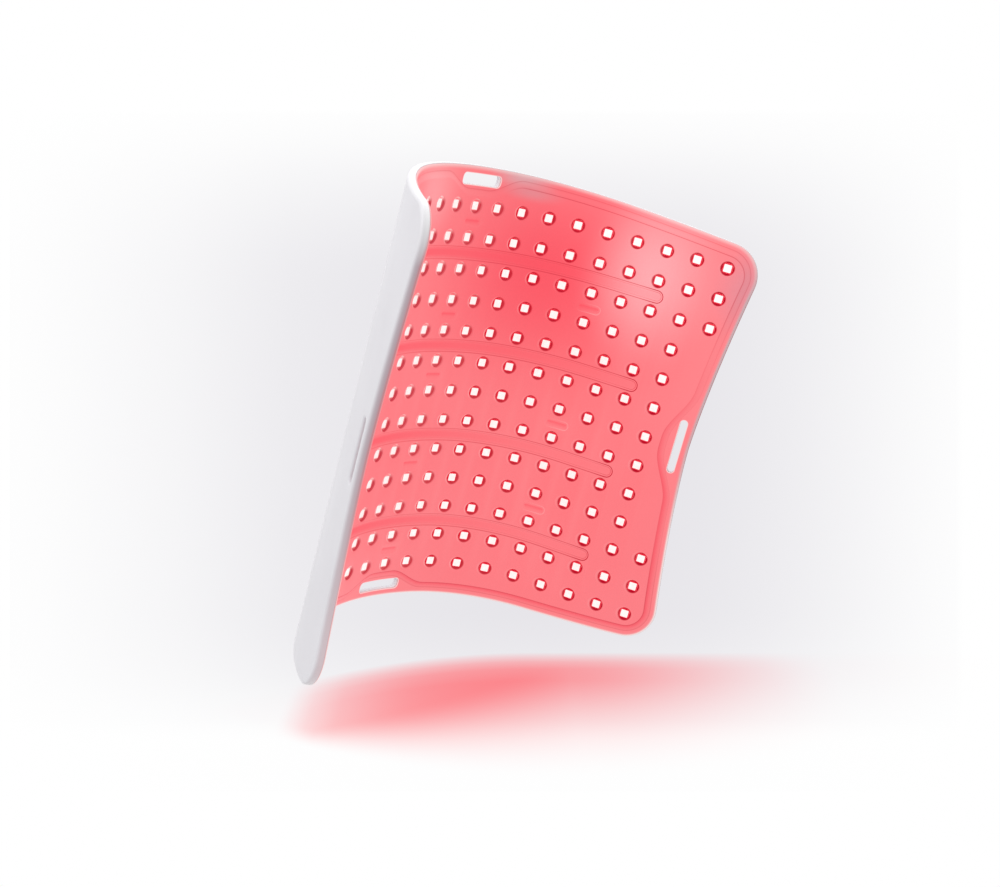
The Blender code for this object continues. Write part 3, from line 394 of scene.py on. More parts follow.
def led_places():
    """Every LED as (band, u, v)."""
    bands = [band for band, rows in enumerate(BAND_ROWS) for _ in range(rows)]
    return [
        (band, column * PITCH, row_height(row))
        for row, band in enumerate(bands)
        for column in range(-half_columns(row), half_columns(row) + 1)
    ]


LEDS = led_places()


def groove_bars():
    """Every groove as (length, width, middle)."""
    bars = []
    row = 0
    for band, offsets in enumerate(BAND_TACKS):
        for offset in offsets:
            v = row_height(row + 0.5)
            bars += [(TACK_LENGTH, TACK_WIDTH, (u, v)) for u in sorted({-offset, offset})]
            row += 1
        if band < len(BAND_ROWS) - 1:
            bars.append((GROOVE_LENGTH, GROOVE_WIDTH, (0, row_height(row + 0.5))))
        row += 1
    return bars


def bend_lines(step):
    """Lines up the panel every step of half pitches, along which it bends."""
    last = COLUMNS - 2
    across = [half * PITCH / 2 for half in range(-last, last + 1, step)]
    return [((u, -PANEL_HEIGHT), (u, PANEL_HEIGHT)) for u in across]


PLAIN = (0.0, 0.0, 0.0, 0.0)
SHARP_ANGLE = 50
# Points of a layout nearer than this are one, and a point is found again by its rounded place
FLAT_TOLERANCE = 0.00001
KEY_STEPS = 1000


def key(u, v):
    return round(u * KEY_STEPS), round(v * KEY_STEPS)


def holes(rings):
    return [(ring, None, PLAIN) for ring in rings]


def holder(loops, index):
    """The innermost loop that a loop lies in."""
    u, v = loops[index][0][0]
    found = 0
    for other in range(1, index):
        ring = loops[other][0]
        inside = False
        for (u1, v1), (u2, v2) in zip(ring, ring[1:] + ring[:1]):
            if (v1 > v) != (v2 > v) and u < (u2 - u1) * (v - v1) / (v2 - v1) + u1:
                inside = not inside
        if inside:
            found = other
    return found


class Layer:
    """A closed moulding in the flat: two faces with relief, and the walls between them.

    Each point has a paint of four shares, which its material reads. On the skin they are painted
    crimson shade, painted caught light, unlit grey and painted deep red shade; on the cover a painted
    blush of red light and shade, a painted highlight, nothing and painted red light. A paint can also
    be a function of the place.
    """

    def __init__(self):
        self.points = []
        self.faces = []
        self.paints = []

    def point(self, u, v, d, paint=PLAIN):
        self.points.append((u, v, d))
        self.paints.append(paint(u, v) if callable(paint) else paint)
        return len(self.points) - 1

    def face(self, loops, lines=(), back=False):
        """Triangulates nested loops of (ring, depth, paint), where a depth of None leaves a hole.

        The first loop holds all the others, and a loop comes after the one that it lies in.
        """
        given = []
        rings = []
        for ring, _, _ in loops:
            rings.append(list(range(len(given), len(given) + len(ring))))
            given += ring
        edges = []
        for line in lines:
            edges.append((len(given), len(given) + 1))
            given += line
        flat = [Vector(point) for point in given]
        cut = delaunay_2d_cdt(flat, edges, rings, 0, FLAT_TOLERANCE)
        verts, _, triangles, came_from, _, inside = cut
        owner_of = {}
        kept = []
        for triangle, owners in zip(triangles, inside):
            if not owners:
                continue
            owner = max(owners)
            for index in triangle:
                owner_of[index] = max(owner_of.get(index, 0), owner)
            if loops[owner][1] is not None:
                kept.append(triangle)
        holders = {
            owner: holder(loops, owner) if loops[owner][1] is None else owner
            for owner in set(owner_of.values())
        }
        made = {}
        places = {}
        for index in sorted({index for triangle in kept for index in triangle}):
            _, depth, paint = loops[holders[owner_of[index]]]
            made[index] = self.point(*verts[index], depth, paint)
            for source in came_from[index]:
                places[key(*given[source])] = made[index]
        for triangle in kept:
            corners = [made[index] for index in triangle]
            self.faces.append(corners[::-1] if back else corners)
        return places

    def wall(self, start, stack, end):
        """Joins a ring on one face, through rings of (ring, depth, paint), to one on the other face."""
        first, start_places = start
        last, end_places = end
        rows = [[start_places[key(u, v)] for u, v in first]]
        for ring, depth, paint in stack:
            rows.append([self.point(u, v, depth, paint) for u, v in ring])
        rows.append([end_places[key(u, v)] for u, v in last])
        for above, below in zip(rows, rows[1:]):
            for index in range(len(above)):
                after = (index + 1) % len(above)
                self.faces.append((above[index], below[index], below[after], above[after]))

    def piece(self, name, finish):
        """Bends the layer and makes it one object, with the flat layout as its UV map."""
        mesh = bpy.data.meshes.new(name)
        mesh.from_pydata([placed(*point) for point in self.points], [], self.faces)
        paint = mesh.attributes.new("paint", "FLOAT_COLOR", "POINT")
        paint.data.foreach_set("color", [share for shares in self.paints for share in shares])
        layout = mesh.uv_layers.new(name="layout")
        for loop in mesh.loops:
            u, v, _ = self.points[loop.vertex_index]
            layout.data[loop.index].uv = (u / PANEL_WIDTH + 0.5, v / PANEL_HEIGHT + 0.5)
        mesh.materials.append(finish)
        return shown(name, mesh)


def shown(name, mesh):
    """Turns a mesh's faces outward, sets its shading and shows it as an object."""
    body = bmesh.new()
    body.from_mesh(mesh)
    bmesh.ops.recalc_face_normals(body, faces=body.faces)
    if body.calc_volume(signed=True) < 0:
        bmesh.ops.reverse_faces(body, faces=body.faces)
    body.to_mesh(mesh)
    body.free()
    mesh.shade_smooth()
    mesh.set_sharp_from_angle(angle=math.radians(SHARP_ANGLE))
    made = bpy.data.objects.new(name, mesh)
    scene.collection.objects.link(made)
    return made


def on_body(made, nodes, body):
    """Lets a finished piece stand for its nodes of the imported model."""
    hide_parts(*nodes)
    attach(made, body)


def linear(code):
    """An sRGB hex value as linear colour."""
    values = [int(code[index : index + 2], 16) / 255 for index in (0, 2, 4)]
    return tuple(v / 12.92 if v <= 0.04045 else ((v + 0.055) / 1.055) ** 2.4 for v in values)


def fill(tree, node, inputs):
    """Fills a node's inputs, each with a value, a hex colour, a socket, a node or a list of nodes,
    where a node gives its first output."""
    for name, given in inputs.items():
        socket = node.inputs[name]
        for source in given if isinstance(given, list) else [given]:
            if isinstance(source, bpy.types.Node):
                source = next(output for output in source.outputs if output.enabled)
            if isinstance(source, bpy.types.NodeSocket):
                tree.links.new(source, socket)
            elif socket.type == "RGBA":
                socket.default_value = (*linear(source), 1)
            else:
                socket.default_value = source


def add_node(tree, kind, inputs=None, **settings):
    """Adds a node with its settings and fills its inputs."""
    node = tree.nodes.new(kind)
    for name, value in settings.items():
        setattr(node, name, value)
    fill(tree, node, inputs or {})
    return node


def clouded(tree, place, patch_mm, detail=2.0):
    """A soft random share that changes over patches of the given size."""
    inputs = {"Vector": place, "Scale": 1 / (patch_mm * MM), "Detail": detail}
    return add_node(tree, "ShaderNodeTexNoise", inputs)


def layered(tree, colour, *coats):
    """Lays coats of (share, colour) over a colour, one after another."""
    for share, coat in coats:
        inputs = {"Factor": share, "A": colour, "B": coat}
        colour = add_node(tree, "ShaderNodeMix", inputs, data_type="RGBA")
    return colour


def new_material(name, sockets, grain_mm):
    """A material, its tree, its shader with the given sockets, and its Object coordinates. The grain
    is the faint one that the mould or the press leaves, a bump of (size, height) in millimetres."""
    made = bpy.data.materials.new(name)
    made.use_nodes = True
    tree = made.node_tree
    shader = tree.nodes["Principled BSDF"]
    place = add_node(tree, "ShaderNodeTexCoord").outputs["Object"]
    bump = {"Height": clouded(tree, place, grain_mm[0]), "Distance": grain_mm[1] * MM}
    fill(tree, shader, {**sockets, "Normal": add_node(tree, "ShaderNodeBump", bump)})
    return made, tree, shader, place


def painted(tree):
    """A layer's paint as its four shares, and the flat layout."""
    paint = add_node(tree, "ShaderNodeAttribute", attribute_name="paint")
    shares = add_node(tree, "ShaderNodeSeparateColor", {"Color": paint}).outputs
    layout = add_node(tree, "ShaderNodeUVMap", uv_map="layout")
    return shares["Red"], shares["Green"], shares["Blue"], paint.outputs["Alpha"], layout


def patch(tree, layout, centre, reach):
    """One at a place of the flat layout, falling smoothly to nothing at its reach."""
    middle = (centre[0] / PANEL_WIDTH + 0.5, centre[1] / PANEL_HEIGHT + 0.5, 0)
    size = (reach[0] / PANEL_WIDTH, reach[1] / PANEL_HEIGHT, 1)
    inputs = {"Vector": layout, "Location": middle, "Scale": size}
    near = add_node(tree, "ShaderNodeMapping", inputs, vector_type="TEXTURE")
    ball = add_node(tree, "ShaderNodeTexGradient", {"Vector": near}, gradient_type="SPHERICAL")
    inputs = {"Value": ball.outputs["Fac"]}
    return add_node(tree, "ShaderNodeMapRange", inputs, interpolation_type="SMOOTHSTEP")


LIT_SHARE = 0.53
LIT_ALBEDO_SHARE = 0.6
LIT_CLOUDS = 35
# A patch of other light on the sheet is (middle, reach, colour)
LIT_PATCHES = (
    ((54, 68), (98, 84), "FB5A68"),
    ((108, 80), (42, 56), "FFABB0"),
    ((160, 88), (30, 34), "E28D97"),
    ((-44, 100), (34, 30), "FFA2A6"),
    ((28, 113), (26, 7), "E0A6AB"),
    ((34, 107), (24, 6), "E88A92"),
)


def moulded_silicone_lit():
    """Translucent silicone lit from behind, its glow painted as emission: coral, deepest where the most
    light comes straight through and paler by the right edge, painted crimson shade along the creases
    and in the wells, painted deep red shade on slopes and in grooves, painted caught light, and greyish
    where no light comes."""
    shine = {"Roughness": 0.42, "IOR": 1.41, "Specular IOR Level": 0.35}
    sockets = {**shine, "Emission Strength": LIT_SHARE}
    name = "translucent silicone, lit"
    made, tree, shader, place = new_material(name, sockets, grain_mm=(0.8, 0.02))
    crimson, caught, unlit, deep, layout = painted(tree)
    coats = [(clouded(tree, place, LIT_CLOUDS, detail=1.0), "FE878D")]
    coats += [(patch(tree, layout, middle, reach), colour) for middle, reach, colour in LIT_PATCHES]
    # Painted crimson shade, painted deep red shade and painted caught light over the coral glow
    coats += [(deep, "F94458"), (crimson, "BE0A2C"), (caught, "FFE8E5")]
    glow = layered(tree, "FD8187", *coats)
    dimmed = add_node(tree, "ShaderNodeHueSaturation", {"Color": glow, "Value": LIT_ALBEDO_SHARE})
    colour = layered(tree, dimmed, (unlit, "DBC6CA"))
    light = layered(tree, glow, (unlit, "000000"))
    fill(tree, shader, {"Base Color": colour, "Emission Color": light})
    return made


lit_silicone = moulded_silicone_lit()


def climbed(value, span):
    """Nothing at the span's first end and before it, one at its other end and past it."""
    return min(max((value - span[0]) / (span[1] - span[0]), 0.0), 1.0)


# Spans of u and v over which the painted light and shade on the wells change, and of the bearing
# round a well, where one is the side nearest the camera
NEAR_SIDE = (0.75, -0.66)
NEAR_SPAN = (-0.5, 0.5)
WASHED_U = (36, -56)
EVEN_U = (20, 120)
EVEN_SHARE = 0.8
CATCH_U = (-90, 70)
CATCH_LOSS_SHARE = 0.95
CORNER_SHADE_U = (80, 140)
CORNER_SHADE_V = (10, 80)
CORNER_SHADE_SHARE = 0.9
OUTLINE_RADII = (4.75, 4.1)
OUTLINE_SPAN = (0.0, 0.7)
FLOOR_SPAN = (-0.2, 0.6)
FLOOR_SHARE = 0.8
WASHED_POWER_LOSS = 0.65


def well_paint(radius, near_shade, far_shade, light, centre):
    """The painted light and shade of a ring of a well. Its painted crimson shade is deepest on the side
    nearest the camera, and all round by the top right corner. Its far side has painted caught light.
    In the left columns painted light washes the red out of the well, and leaves a painted crimson
    shade line on its near rim."""
    corner = climbed(centre[0], CORNER_SHADE_U) * climbed(centre[1], CORNER_SHADE_V)
    washed = climbed(centre[0], WASHED_U)
    even = EVEN_SHARE + (1 - EVEN_SHARE) * max(climbed(centre[0], EVEN_U), washed)
    most = near_shade ** (1 - WASHED_POWER_LOSS * washed) * even
    outline = washed * climbed(radius, OUTLINE_RADII)
    weight = light * (1 - CATCH_LOSS_SHARE * climbed(centre[0], CATCH_U))

    def paint(u, v):
        reach = math.hypot(u - centre[0], v - centre[1])
        side = ((u - centre[0]) * NEAR_SIDE[0] + (v - centre[1]) * NEAR_SIDE[1]) / reach
        near = climbed(side, NEAR_SPAN)
        red = far_shade + (most - far_shade) * near
        red = max(red, outline * climbed(side, OUTLINE_SPAN))
        caught = weight * max(0.0, (centre[0] - u) / reach) ** 2
        if radius < WELL_WALL:
            red = max(red, CORNER_SHADE_SHARE * corner)
            kept = near if radius > WELL_FLOOR else FLOOR_SHARE * climbed(side, FLOOR_SPAN)
            caught = washed * (1 - kept)
        return red * (1 - caught), caught, 0.0, 0.0

    return paint


# Spans of v and u where painted highlights and glow lie along the edges, and their shares
TOP_V = (84, 102)
LOW_V = (20, -50)
FREE_EDGE_U = (-110, -150)
FREE_EDGE_V = (-100, -20)
TOP_PALE_SHARE = 0.4
LIT_EDGE_SHARE = 0.85


def edge_paint(dull):
    """Unlit grey round the skin's edge, a painted pale pink highlight along its top, a painted pale
    highlight along its foot, and painted coral glow by the free edge."""

    def paint(u, v):
        top = climbed(v, TOP_V)
        low = climbed(v, LOW_V)
        left = climbed(u, FREE_EDGE_U) * climbed(v, FREE_EDGE_V)
        pale = dull * TOP_PALE_SHARE * top + dull**3 * low
        lit = LIT_EDGE_SHARE * max(top, low, left)
        return 0.0, pale * (1 - left * (1 - top)), dull * (1 - lit), 0.0

    return paint


RIGHT_SLOT_U = (125, 140)
RIGHT_SLOT_V = (80, 50)
RIGHT_SLOT_LOSS_SHARE = 0.6
INNER_LINE_U = (18, 34)
# Where the painted deep red shade on the shoulder's slope lies, along u and v, and its share at the left
SLOPE_SHADE_U = (-100, 40)
SLOPE_SHADE_V = (50, -20)
SLOPE_SHADE_SHARE = 0.3


def shoulder_paint(line, red, inner):
    """Painted crimson shade lines along the shoulder's creases, fainter by the right slot, and painted deep
    red shade on its slope in the lower half. On the upper left, and round the top slot, only the outer
    line shows."""

    def paint(u, v):
        by_slot = climbed(u, RIGHT_SLOT_U) * climbed(abs(v), RIGHT_SLOT_V)
        seen = line * (1 - RIGHT_SLOT_LOSS_SHARE * by_slot)
        if v > 0 and inner:
            seen *= climbed(u, INNER_LINE_U)
        slope = SLOPE_SHADE_SHARE + (1 - SLOPE_SHADE_SHARE) * climbed(u, SLOPE_SHADE_U)
        return seen, 0.0, 0.0, red * climbed(v, SLOPE_SHADE_V) * slope

    return paint


GROOVE_RIGHT_U = (-40, 90)
GROOVE_END_U = (106, 114)
# How strong a groove's painted shade lines are at its left, and what its right part and its end add
GROOVE_SHADE_LINE_SHARES = (0.35, 0.45, 0.8)
GROOVE_SHADE_LOSS_SHARE = 0.8


def groove_paint(line, red):
    """Painted crimson shade lines in a groove, finer to the left and clearest at its right end, and painted
    deep red shade on its floor, to the left."""

    def paint(u, v):
        right = climbed(u, GROOVE_RIGHT_U)
        left_line, right_line, end_line = GROOVE_SHADE_LINE_SHARES
        strength = left_line + right_line * right + end_line * climbed(u, GROOVE_END_U)
        return line * strength, 0.0, 0.0, red * (1 - GROOVE_SHADE_LOSS_SHARE * right)

    return paint


# Where the painted highlight on a tack's lip lies, and the share of painted deep red shade in its lower half
TACK_HIGHLIGHT_U = (0, 60)
TACK_HIGHLIGHT_SPAN = (-5, 7)
TACK_LOW_SHADE_SHARE = 0.25


def tack_paint(line, red, middle):
    """A painted highlight on the lip round a tack's lower right side, and painted deep red shade in its
    upper half.
    """

    def paint(u, v):
        down_right = (u - middle[0]) - (v - middle[1])
        lip = climbed(u, TACK_HIGHLIGHT_U) * climbed(down_right, TACK_HIGHLIGHT_SPAN)
        return 0.0, line * lip, 0.0, red if v > middle[1] else TACK_LOW_SHADE_SHARE * red

    return paint


def groove_loops():
    """The rings down every groove and tack."""
    loops = []
    for length, width, middle in groove_bars():
        groove = length == GROOVE_LENGTH
        for inset, sunk, line, red in GROOVE_SIDE if groove else TACK_SIDE:
            ring = bar_ring(length - 2 * inset, width - 2 * inset, width, middle, GROOVE_STEPS)
            paint = groove_paint(line, red) if groove else tack_paint(line, red, middle)
            loops.append((ring, FIELD_FRONT + sunk * GROOVE_DEPTH, paint))
    return loops


def build_skin():
    layer = Layer()
    rise = SHOULDER_INNER - SHOULDER_OUTER
    inset, down, grey = SKIN_EDGE[0]
    edge = panel_ring(SKIN_INSET + inset)
    loops = [(edge, down, edge_paint(grey)), (panel_ring(SKIN_FADE), down, PLAIN)]
    for along, up, line, red in SHOULDER_SHARES:
        ring = panel_ring(SHOULDER_OUTER + along * rise, LONG_LOBE, SHORT_LOBE)
        loops.append((ring, up * FIELD_FRONT, shoulder_paint(line, red, along > 0.5)))
    edge_slots = slot_rings(SLOT_EDGE[0][0])
    loops += groove_loops()
    loops += holes([well_ring(WELL_TOP, (u, v)) for _, u, v in LEDS] + edge_slots)
    front = layer.face(loops, bend_lines(2))
    foot = panel_ring(SKIN_INSET)
    back_slots = slot_rings(0.0)
    seats = [square_ring(SEAT_HALF, (u, v)) for _, u, v in LEDS]
    back = layer.face([(foot, SKIN_BACK, (0, 0, 1, 0)), *holes(back_slots + seats)], bend_lines(2), back=True)
    for (_, u, v), seat in zip(LEDS, seats):
        stack = [
            (well_ring(radius, (u, v)), FIELD_FRONT + sunk, well_paint(radius, near, far, light, (u, v)))
            for radius, sunk, near, far, light in WELL_DISH[1:]
        ]
        stack.append((seat, SEAT_TOP, well_paint(SEAT_HALF, 1, 1, 0, (u, v))))
        layer.wall((well_ring(WELL_TOP, (u, v)), front), stack, (seat, back))
    stack = [(panel_ring(SKIN_INSET + out), sunk, edge_paint(dull)) for out, sunk, dull in SKIN_EDGE[1:]]
    layer.wall((edge, front), stack, (foot, back))
    for index, (edge_ring, straight) in enumerate(zip(edge_slots, back_slots)):
        stack = [(slot_rings(out)[index], sunk, (0, light, 0, 0)) for out, sunk, light in SLOT_EDGE[1:]]
        layer.wall((edge_ring, front), stack, (straight, back))
    return layer.piece("front_skin_lit", lit_silicone)


on_body(build_skin(), ["front_skin"], "panel")

# LED bands: five flexible circuits with a white solder mask, each with two or three rows of square
# LED packages soldered on. A package's phosphor window is burnt out white, its housing lit crimson.

BAND_GAP = 4.0
BAND_MARGIN = 5.0
BAND_FRONT = 1.4
BAND_BACK = 1.7
LED_SIZES = {
    "Side": 4.8,
    "Corner": 0.35,
    "Height": 1.54,
    "Window": 3.95,
    "Window Corner": 0.35,
    "Top": 1.6,
}
LED_CORNER_SIDES = 2
LED_MERGE = 0.001


def band_ring(band):
    """A band's outline, narrower beside the rows that have no end LEDs."""
    rows = range(sum(BAND_ROWS[:band]), sum(BAND_ROWS[: band + 1]))
    right = []
    for row in rows:
        half = half_columns(row) * PITCH + BAND_MARGIN
        above = row_height(row - 0.5) - (BAND_GAP / 2 if row == rows[0] else 0)
        below = row_height(row + 0.5) + (BAND_GAP / 2 if row == rows[-1] else 0)
        if row == 0:
            above = row_height(row) + BAND_MARGIN
        if row == ROWS - 1:
            below = row_height(row) - BAND_MARGIN
        right += [(half, above), (half, below)]
    turns = zip(right, right[1:], right[2:])
    middle = [here for before, here, after in turns if before[0] != here[0] or here[0] != after[0]]
    ring = [right[0], *middle, right[-1]]
    ring += [(-u, v) for u, v in reversed(ring)]
    full = []
    for here, there in zip(ring, ring[1:] + ring[:1]):
        full.append(here)
        if here[1] == there[1]:
            run = there[0] - here[0]
            steps = int(abs(run) / EDGE_STEP)
            full += [(here[0] + run * step / steps, here[1]) for step in range(1, steps)]
    return list(reversed(full))


def mottled(name, dark, light, sockets, patch_mm, grain_mm, detail=2.0, tinted=("Base Color",)):
    """A material of two close colours in soft patches of the given size."""
    made, tree, shader, place = new_material(name, sockets, grain_mm)
    tint = layered(tree, dark, (clouded(tree, place, patch_mm, detail), light))
    fill(tree, shader, dict.fromkeys(tinted, tint))
    return made


# Solder mask, printed: a little glossy, and flooded with the LEDs' red light
red_flood = {"Roughness": 0.45, "Emission Color": "F0304A", "Emission Strength": 0.5}
circuit_white = mottled(
    "white solder mask, red-lit", "EFC9CB", "F6D9DA", red_flood, patch_mm=4, grain_mm=(0.3, 0.01)
)

# Across this span of the housing's x, painted light washes it pale
WASHED_ACROSS = (0.03, -0.06)


def led_housing():
    """The LED's moulded housing, crimson with the light inside it, and paler with painted light in the
    left columns.
    """
    sockets = {"Roughness": 0.4, "Emission Strength": 0.45}
    made, tree, shader, place = new_material("LED housing, red-lit", sockets, grain_mm=(0.2, 0.005))
    across = add_node(tree, "ShaderNodeSeparateXYZ", {"Vector": place}).outputs["X"]
    inputs = {"Value": across, "From Min": WASHED_ACROSS[0], "From Max": WASHED_ACROSS[1]}
    washed = add_node(tree, "ShaderNodeMapRange", inputs)
    tint = layered(tree, "C4102F", (clouded(tree, place, patch_mm=1.5), "DE2742"), (washed, "FFD9D8"))
    fill(tree, shader, {"Base Color": tint, "Emission Color": tint})
    return made


led_red = led_housing()
# Phosphor under a clear moulded window, lit: burnt out to white
burnt_out = {"Roughness": 0.25, "Emission Strength": 0.42}
lit_sockets = ("Base Color", "Emission Color")
led_white = mottled(
    "lit LED window", "FFE3DC", "FFFFFF", burnt_out, patch_mm=1.6, grain_mm=(0.4, 0.005), tinted=lit_sockets
)


def new_tree(name, sizes):
    """A Geometry Nodes tree with a named input for each size, and its inputs."""
    tree = bpy.data.node_groups.new(name, "GeometryNodeTree")
    tree.interface.new_socket("Geometry", in_out="INPUT", socket_type="NodeSocketGeometry")
    for size in sizes:
        tree.interface.new_socket(size, in_out="INPUT", socket_type="NodeSocketFloat")
    tree.interface.new_socket("Geometry", in_out="OUTPUT", socket_type="NodeSocketGeometry")
    return tree, tree.nodes.new("NodeGroupInput").outputs


def block(tree, side, corner, height):
    """A closed square block with round corners, standing on the origin."""
    square = add_node(tree, "GeometryNodeCurvePrimitiveQuadrilateral", {"Width": side, "Height": side})
    inputs = {"Curve": square, "Radius": corner, "Count": LED_CORNER_SIDES}
    outline = add_node(tree, "GeometryNodeFilletCurve", inputs, mode="POLY")
    base = add_node(tree, "GeometryNodeFillCurve", {"Curve": outline}, mode="NGONS")
    raised = add_node(tree, "GeometryNodeExtrudeMesh", {"Mesh": base, "Offset Scale": height})
    under = add_node(tree, "GeometryNodeFlipFaces", {"Mesh": base})
    whole = add_node(tree, "GeometryNodeJoinGeometry", {"Geometry": [raised, under]})
    inputs = {"Geometry": whole, "Distance": LED_MERGE * MM}
    return add_node(tree, "GeometryNodeMergeByDistance", inputs)


def spread_on_points(tree, points, instance, finish):
    """Sets an instance on every point, turned as its point says, and makes it real."""
    turn = add_node(tree, "GeometryNodeInputNamedAttribute", {"Name": "turn"}, data_type="FLOAT_VECTOR")
    inputs = {"Points": points, "Instance": instance, "Rotation": turn}
    spread = add_node(tree, "GeometryNodeInstanceOnPoints", inputs)
    real = add_node(tree, "GeometryNodeRealizeInstances", {"Geometry": spread})
    return add_node(tree, "GeometryNodeSetMaterial", {"Geometry": real, "Material": finish})


def led_tree():
    """Geometry Nodes that put an LED on every point: a housing, and a window let into its top."""
    tree, given = new_tree("leds on a band", LED_SIZES)
    housing = block(tree, given["Side"], given["Corner"], given["Height"])
    window = block(tree, given["Window"], given["Window Corner"], given["Top"])
    inputs = {"Geometry": window, "Name": "window", "Value": True}
    marked = add_node(
        tree, "GeometryNodeStoreNamedAttribute", inputs, data_type="BOOLEAN", domain="FACE"
    )
    led = add_node(tree, "GeometryNodeJoinGeometry", {"Geometry": [housing, marked]})
    spread = spread_on_points(tree, given["Geometry"], led, led_red)
    where = add_node(tree, "GeometryNodeInputNamedAttribute", {"Name": "window"}, data_type="BOOLEAN")
    inputs = {"Geometry": spread, "Selection": where, "Material": led_white}
    glazed = add_node(tree, "GeometryNodeSetMaterial", inputs)
    add_node(tree, "NodeGroupOutput", {"Geometry": glazed})
    return tree


LED_TREE = led_tree()


def plain_mesh(source, name):
    """The evaluated object as a plain mesh in a new object; the source is removed."""
    bpy.context.view_layer.update()
    evaluated = source.evaluated_get(bpy.context.evaluated_depsgraph_get())
    mesh = bpy.data.meshes.new_from_object(evaluated)
    bpy.data.objects.remove(source)
    return shown(name, mesh)


def repeated(name, places, facing, tree, sizes):
    """What a tree makes of points at the given places of the panel, its z axis along facing * d."""
    points = []
    turns = []
    for u, v, d in places:
        here = placed(u, v, d)
        up = (placed(u, v + 1, d) - here).normalized()
        out = (placed(u, v, d + facing) - here).normalized()
        points.append(here)
        turns += Matrix((up.cross(out), up, out)).transposed().to_euler()
    mesh = bpy.data.meshes.new(name)
    mesh.from_pydata(points, [], [])
    mesh.attributes.new("turn", "FLOAT_VECTOR", "POINT").data.foreach_set("vector", turns)
    source = bpy.data.objects.new(name, mesh)
    scene.collection.objects.link(source)
    step = source.modifiers.new("repeat", "NODES")
    step.node_group = tree
    for item in tree.interface.items_tree:
        if item.in_out == "INPUT" and item.name in sizes:
            step[item.identifier] = sizes[item.name] * MM
    return plain_mesh(source, name)


for band in range(len(BAND_ROWS)):
    film = Layer()
    ring = band_ring(band)
    front = film.face([(ring, BAND_FRONT, PLAIN)])
    back = film.face([(ring, BAND_BACK, PLAIN)], back=True)
    film.wall((ring, front), [], (ring, back))
    circuit = film.piece(f"led_circuit_{band + 1}", circuit_white)
    places = [(u, v, BAND_FRONT) for owner, u, v in LEDS if owner == band]
    leds = repeated(f"leds_{band + 1}", places, -1, LED_TREE, LED_SIZES)
    for made in (circuit, leds):
        on_body(made, [f"led_band_{band + 1}"], "panel")

# Back cover: a tray of opaque white silicone with a soft back edge, glued to the front skin all
# round. It holds the bands in a shallow pocket and has a window that the control pod is clamped in.

COVER_FRONT = 1.02
POCKET_FLOOR = 2.8
POCKET_RIM = 4.5
POCKET_SIDE = 0.6
SLOT_RIM = 1.6
SHORT_SLOT_RIM = 3.0
# A ring round the back edge is (inset, distance before the back)
COVER_EDGE = ((1.7, 0.0), (1.2, 0.03), (0.65, 0.2), (0.25, 0.55), (0.05, 1.0), (0.0, 1.5))
# The red light on the wall by the lit skin is (depth behind the cover's front, strength)
WALL_RED = ((0.0, 0.9), (0.35, 0.6), (0.95, 0.08))
WALL_BLUSH_DEPTH = 2.0
# How much of the painted highlight shows away from the wall's front, and where it and the painted red light
# lie
WALL_HIGHLIGHT_SHARE = 0.2
WALL_FOOT_V = (-98, -116)
WALL_RED_V = (-60, 0)
# A painted patch of paler light on the wall's blush, round the lower left corner
FOOT_LIGHT_PATCH = ((-PANEL_WIDTH / 2, -PANEL_HEIGHT / 2), (60, 150))
POD_SIZE = (40.0, 88.0)
POD_CORNER = 8.0
POD_CORNER_STEPS = 8
POD_LIP_WIDTH = 2.0
POD_LIP = 0.7
SEAT_GAP = 0.3


def moulded_silicone_white():
    """Opaque white silicone, satin, with painted light: a little of the red light and shade in the wall by
    the lit skin, paler by the foot, and a painted highlight along the top and foot.
    """
    sockets = {"Roughness": 0.5, "IOR": 1.41, "Sheen Weight": 0.1}
    made, tree, shader, place = new_material("white silicone", sockets, grain_mm=(0.7, 0.03))
    blush, bright, _, red, layout = painted(tree)
    blushed = layered(tree, "C7B1BA", (patch(tree, layout, *FOOT_LIGHT_PATCH), "ECD9DE"))
    coats = [(clouded(tree, place, patch_mm=30), "E3E1E6")]
    # Painted blush of red light and shade, painted highlight and painted red light
    coats += [(blush, blushed), (bright, "FAF9FB"), (red, "DE8287")]
    fill(tree, shader, {"Base Color": layered(tree, "DAD8DD", *coats)})
    return made


white_silicone = moulded_silicone_white()


def pod_ring(grown):
    """The pod's outline on the panel, grown by a distance."""
    width, height = (size + 2 * grown for size in POD_SIZE)
    return bar_ring(width, height, POD_CORNER + grown, (POD_U, 0), POD_CORNER_STEPS)


def wall_paint(blush, red=0.0):
    """The outer wall: a painted blush of red light and shade on the sides, and a painted highlight
    along the top and foot.
    """

    def paint(u, v):
        level = max(climbed(v, TOP_V), climbed(v, WALL_FOOT_V))
        if u > 0:
            level = max(level, climbed(v, LOW_V))
        bright = level * (WALL_HIGHLIGHT_SHARE + (1 - WALL_HIGHLIGHT_SHARE) * blush)
        return blush * (1 - level), bright, 0.0, red * (1 - level) * climbed(v, WALL_RED_V)

    return paint


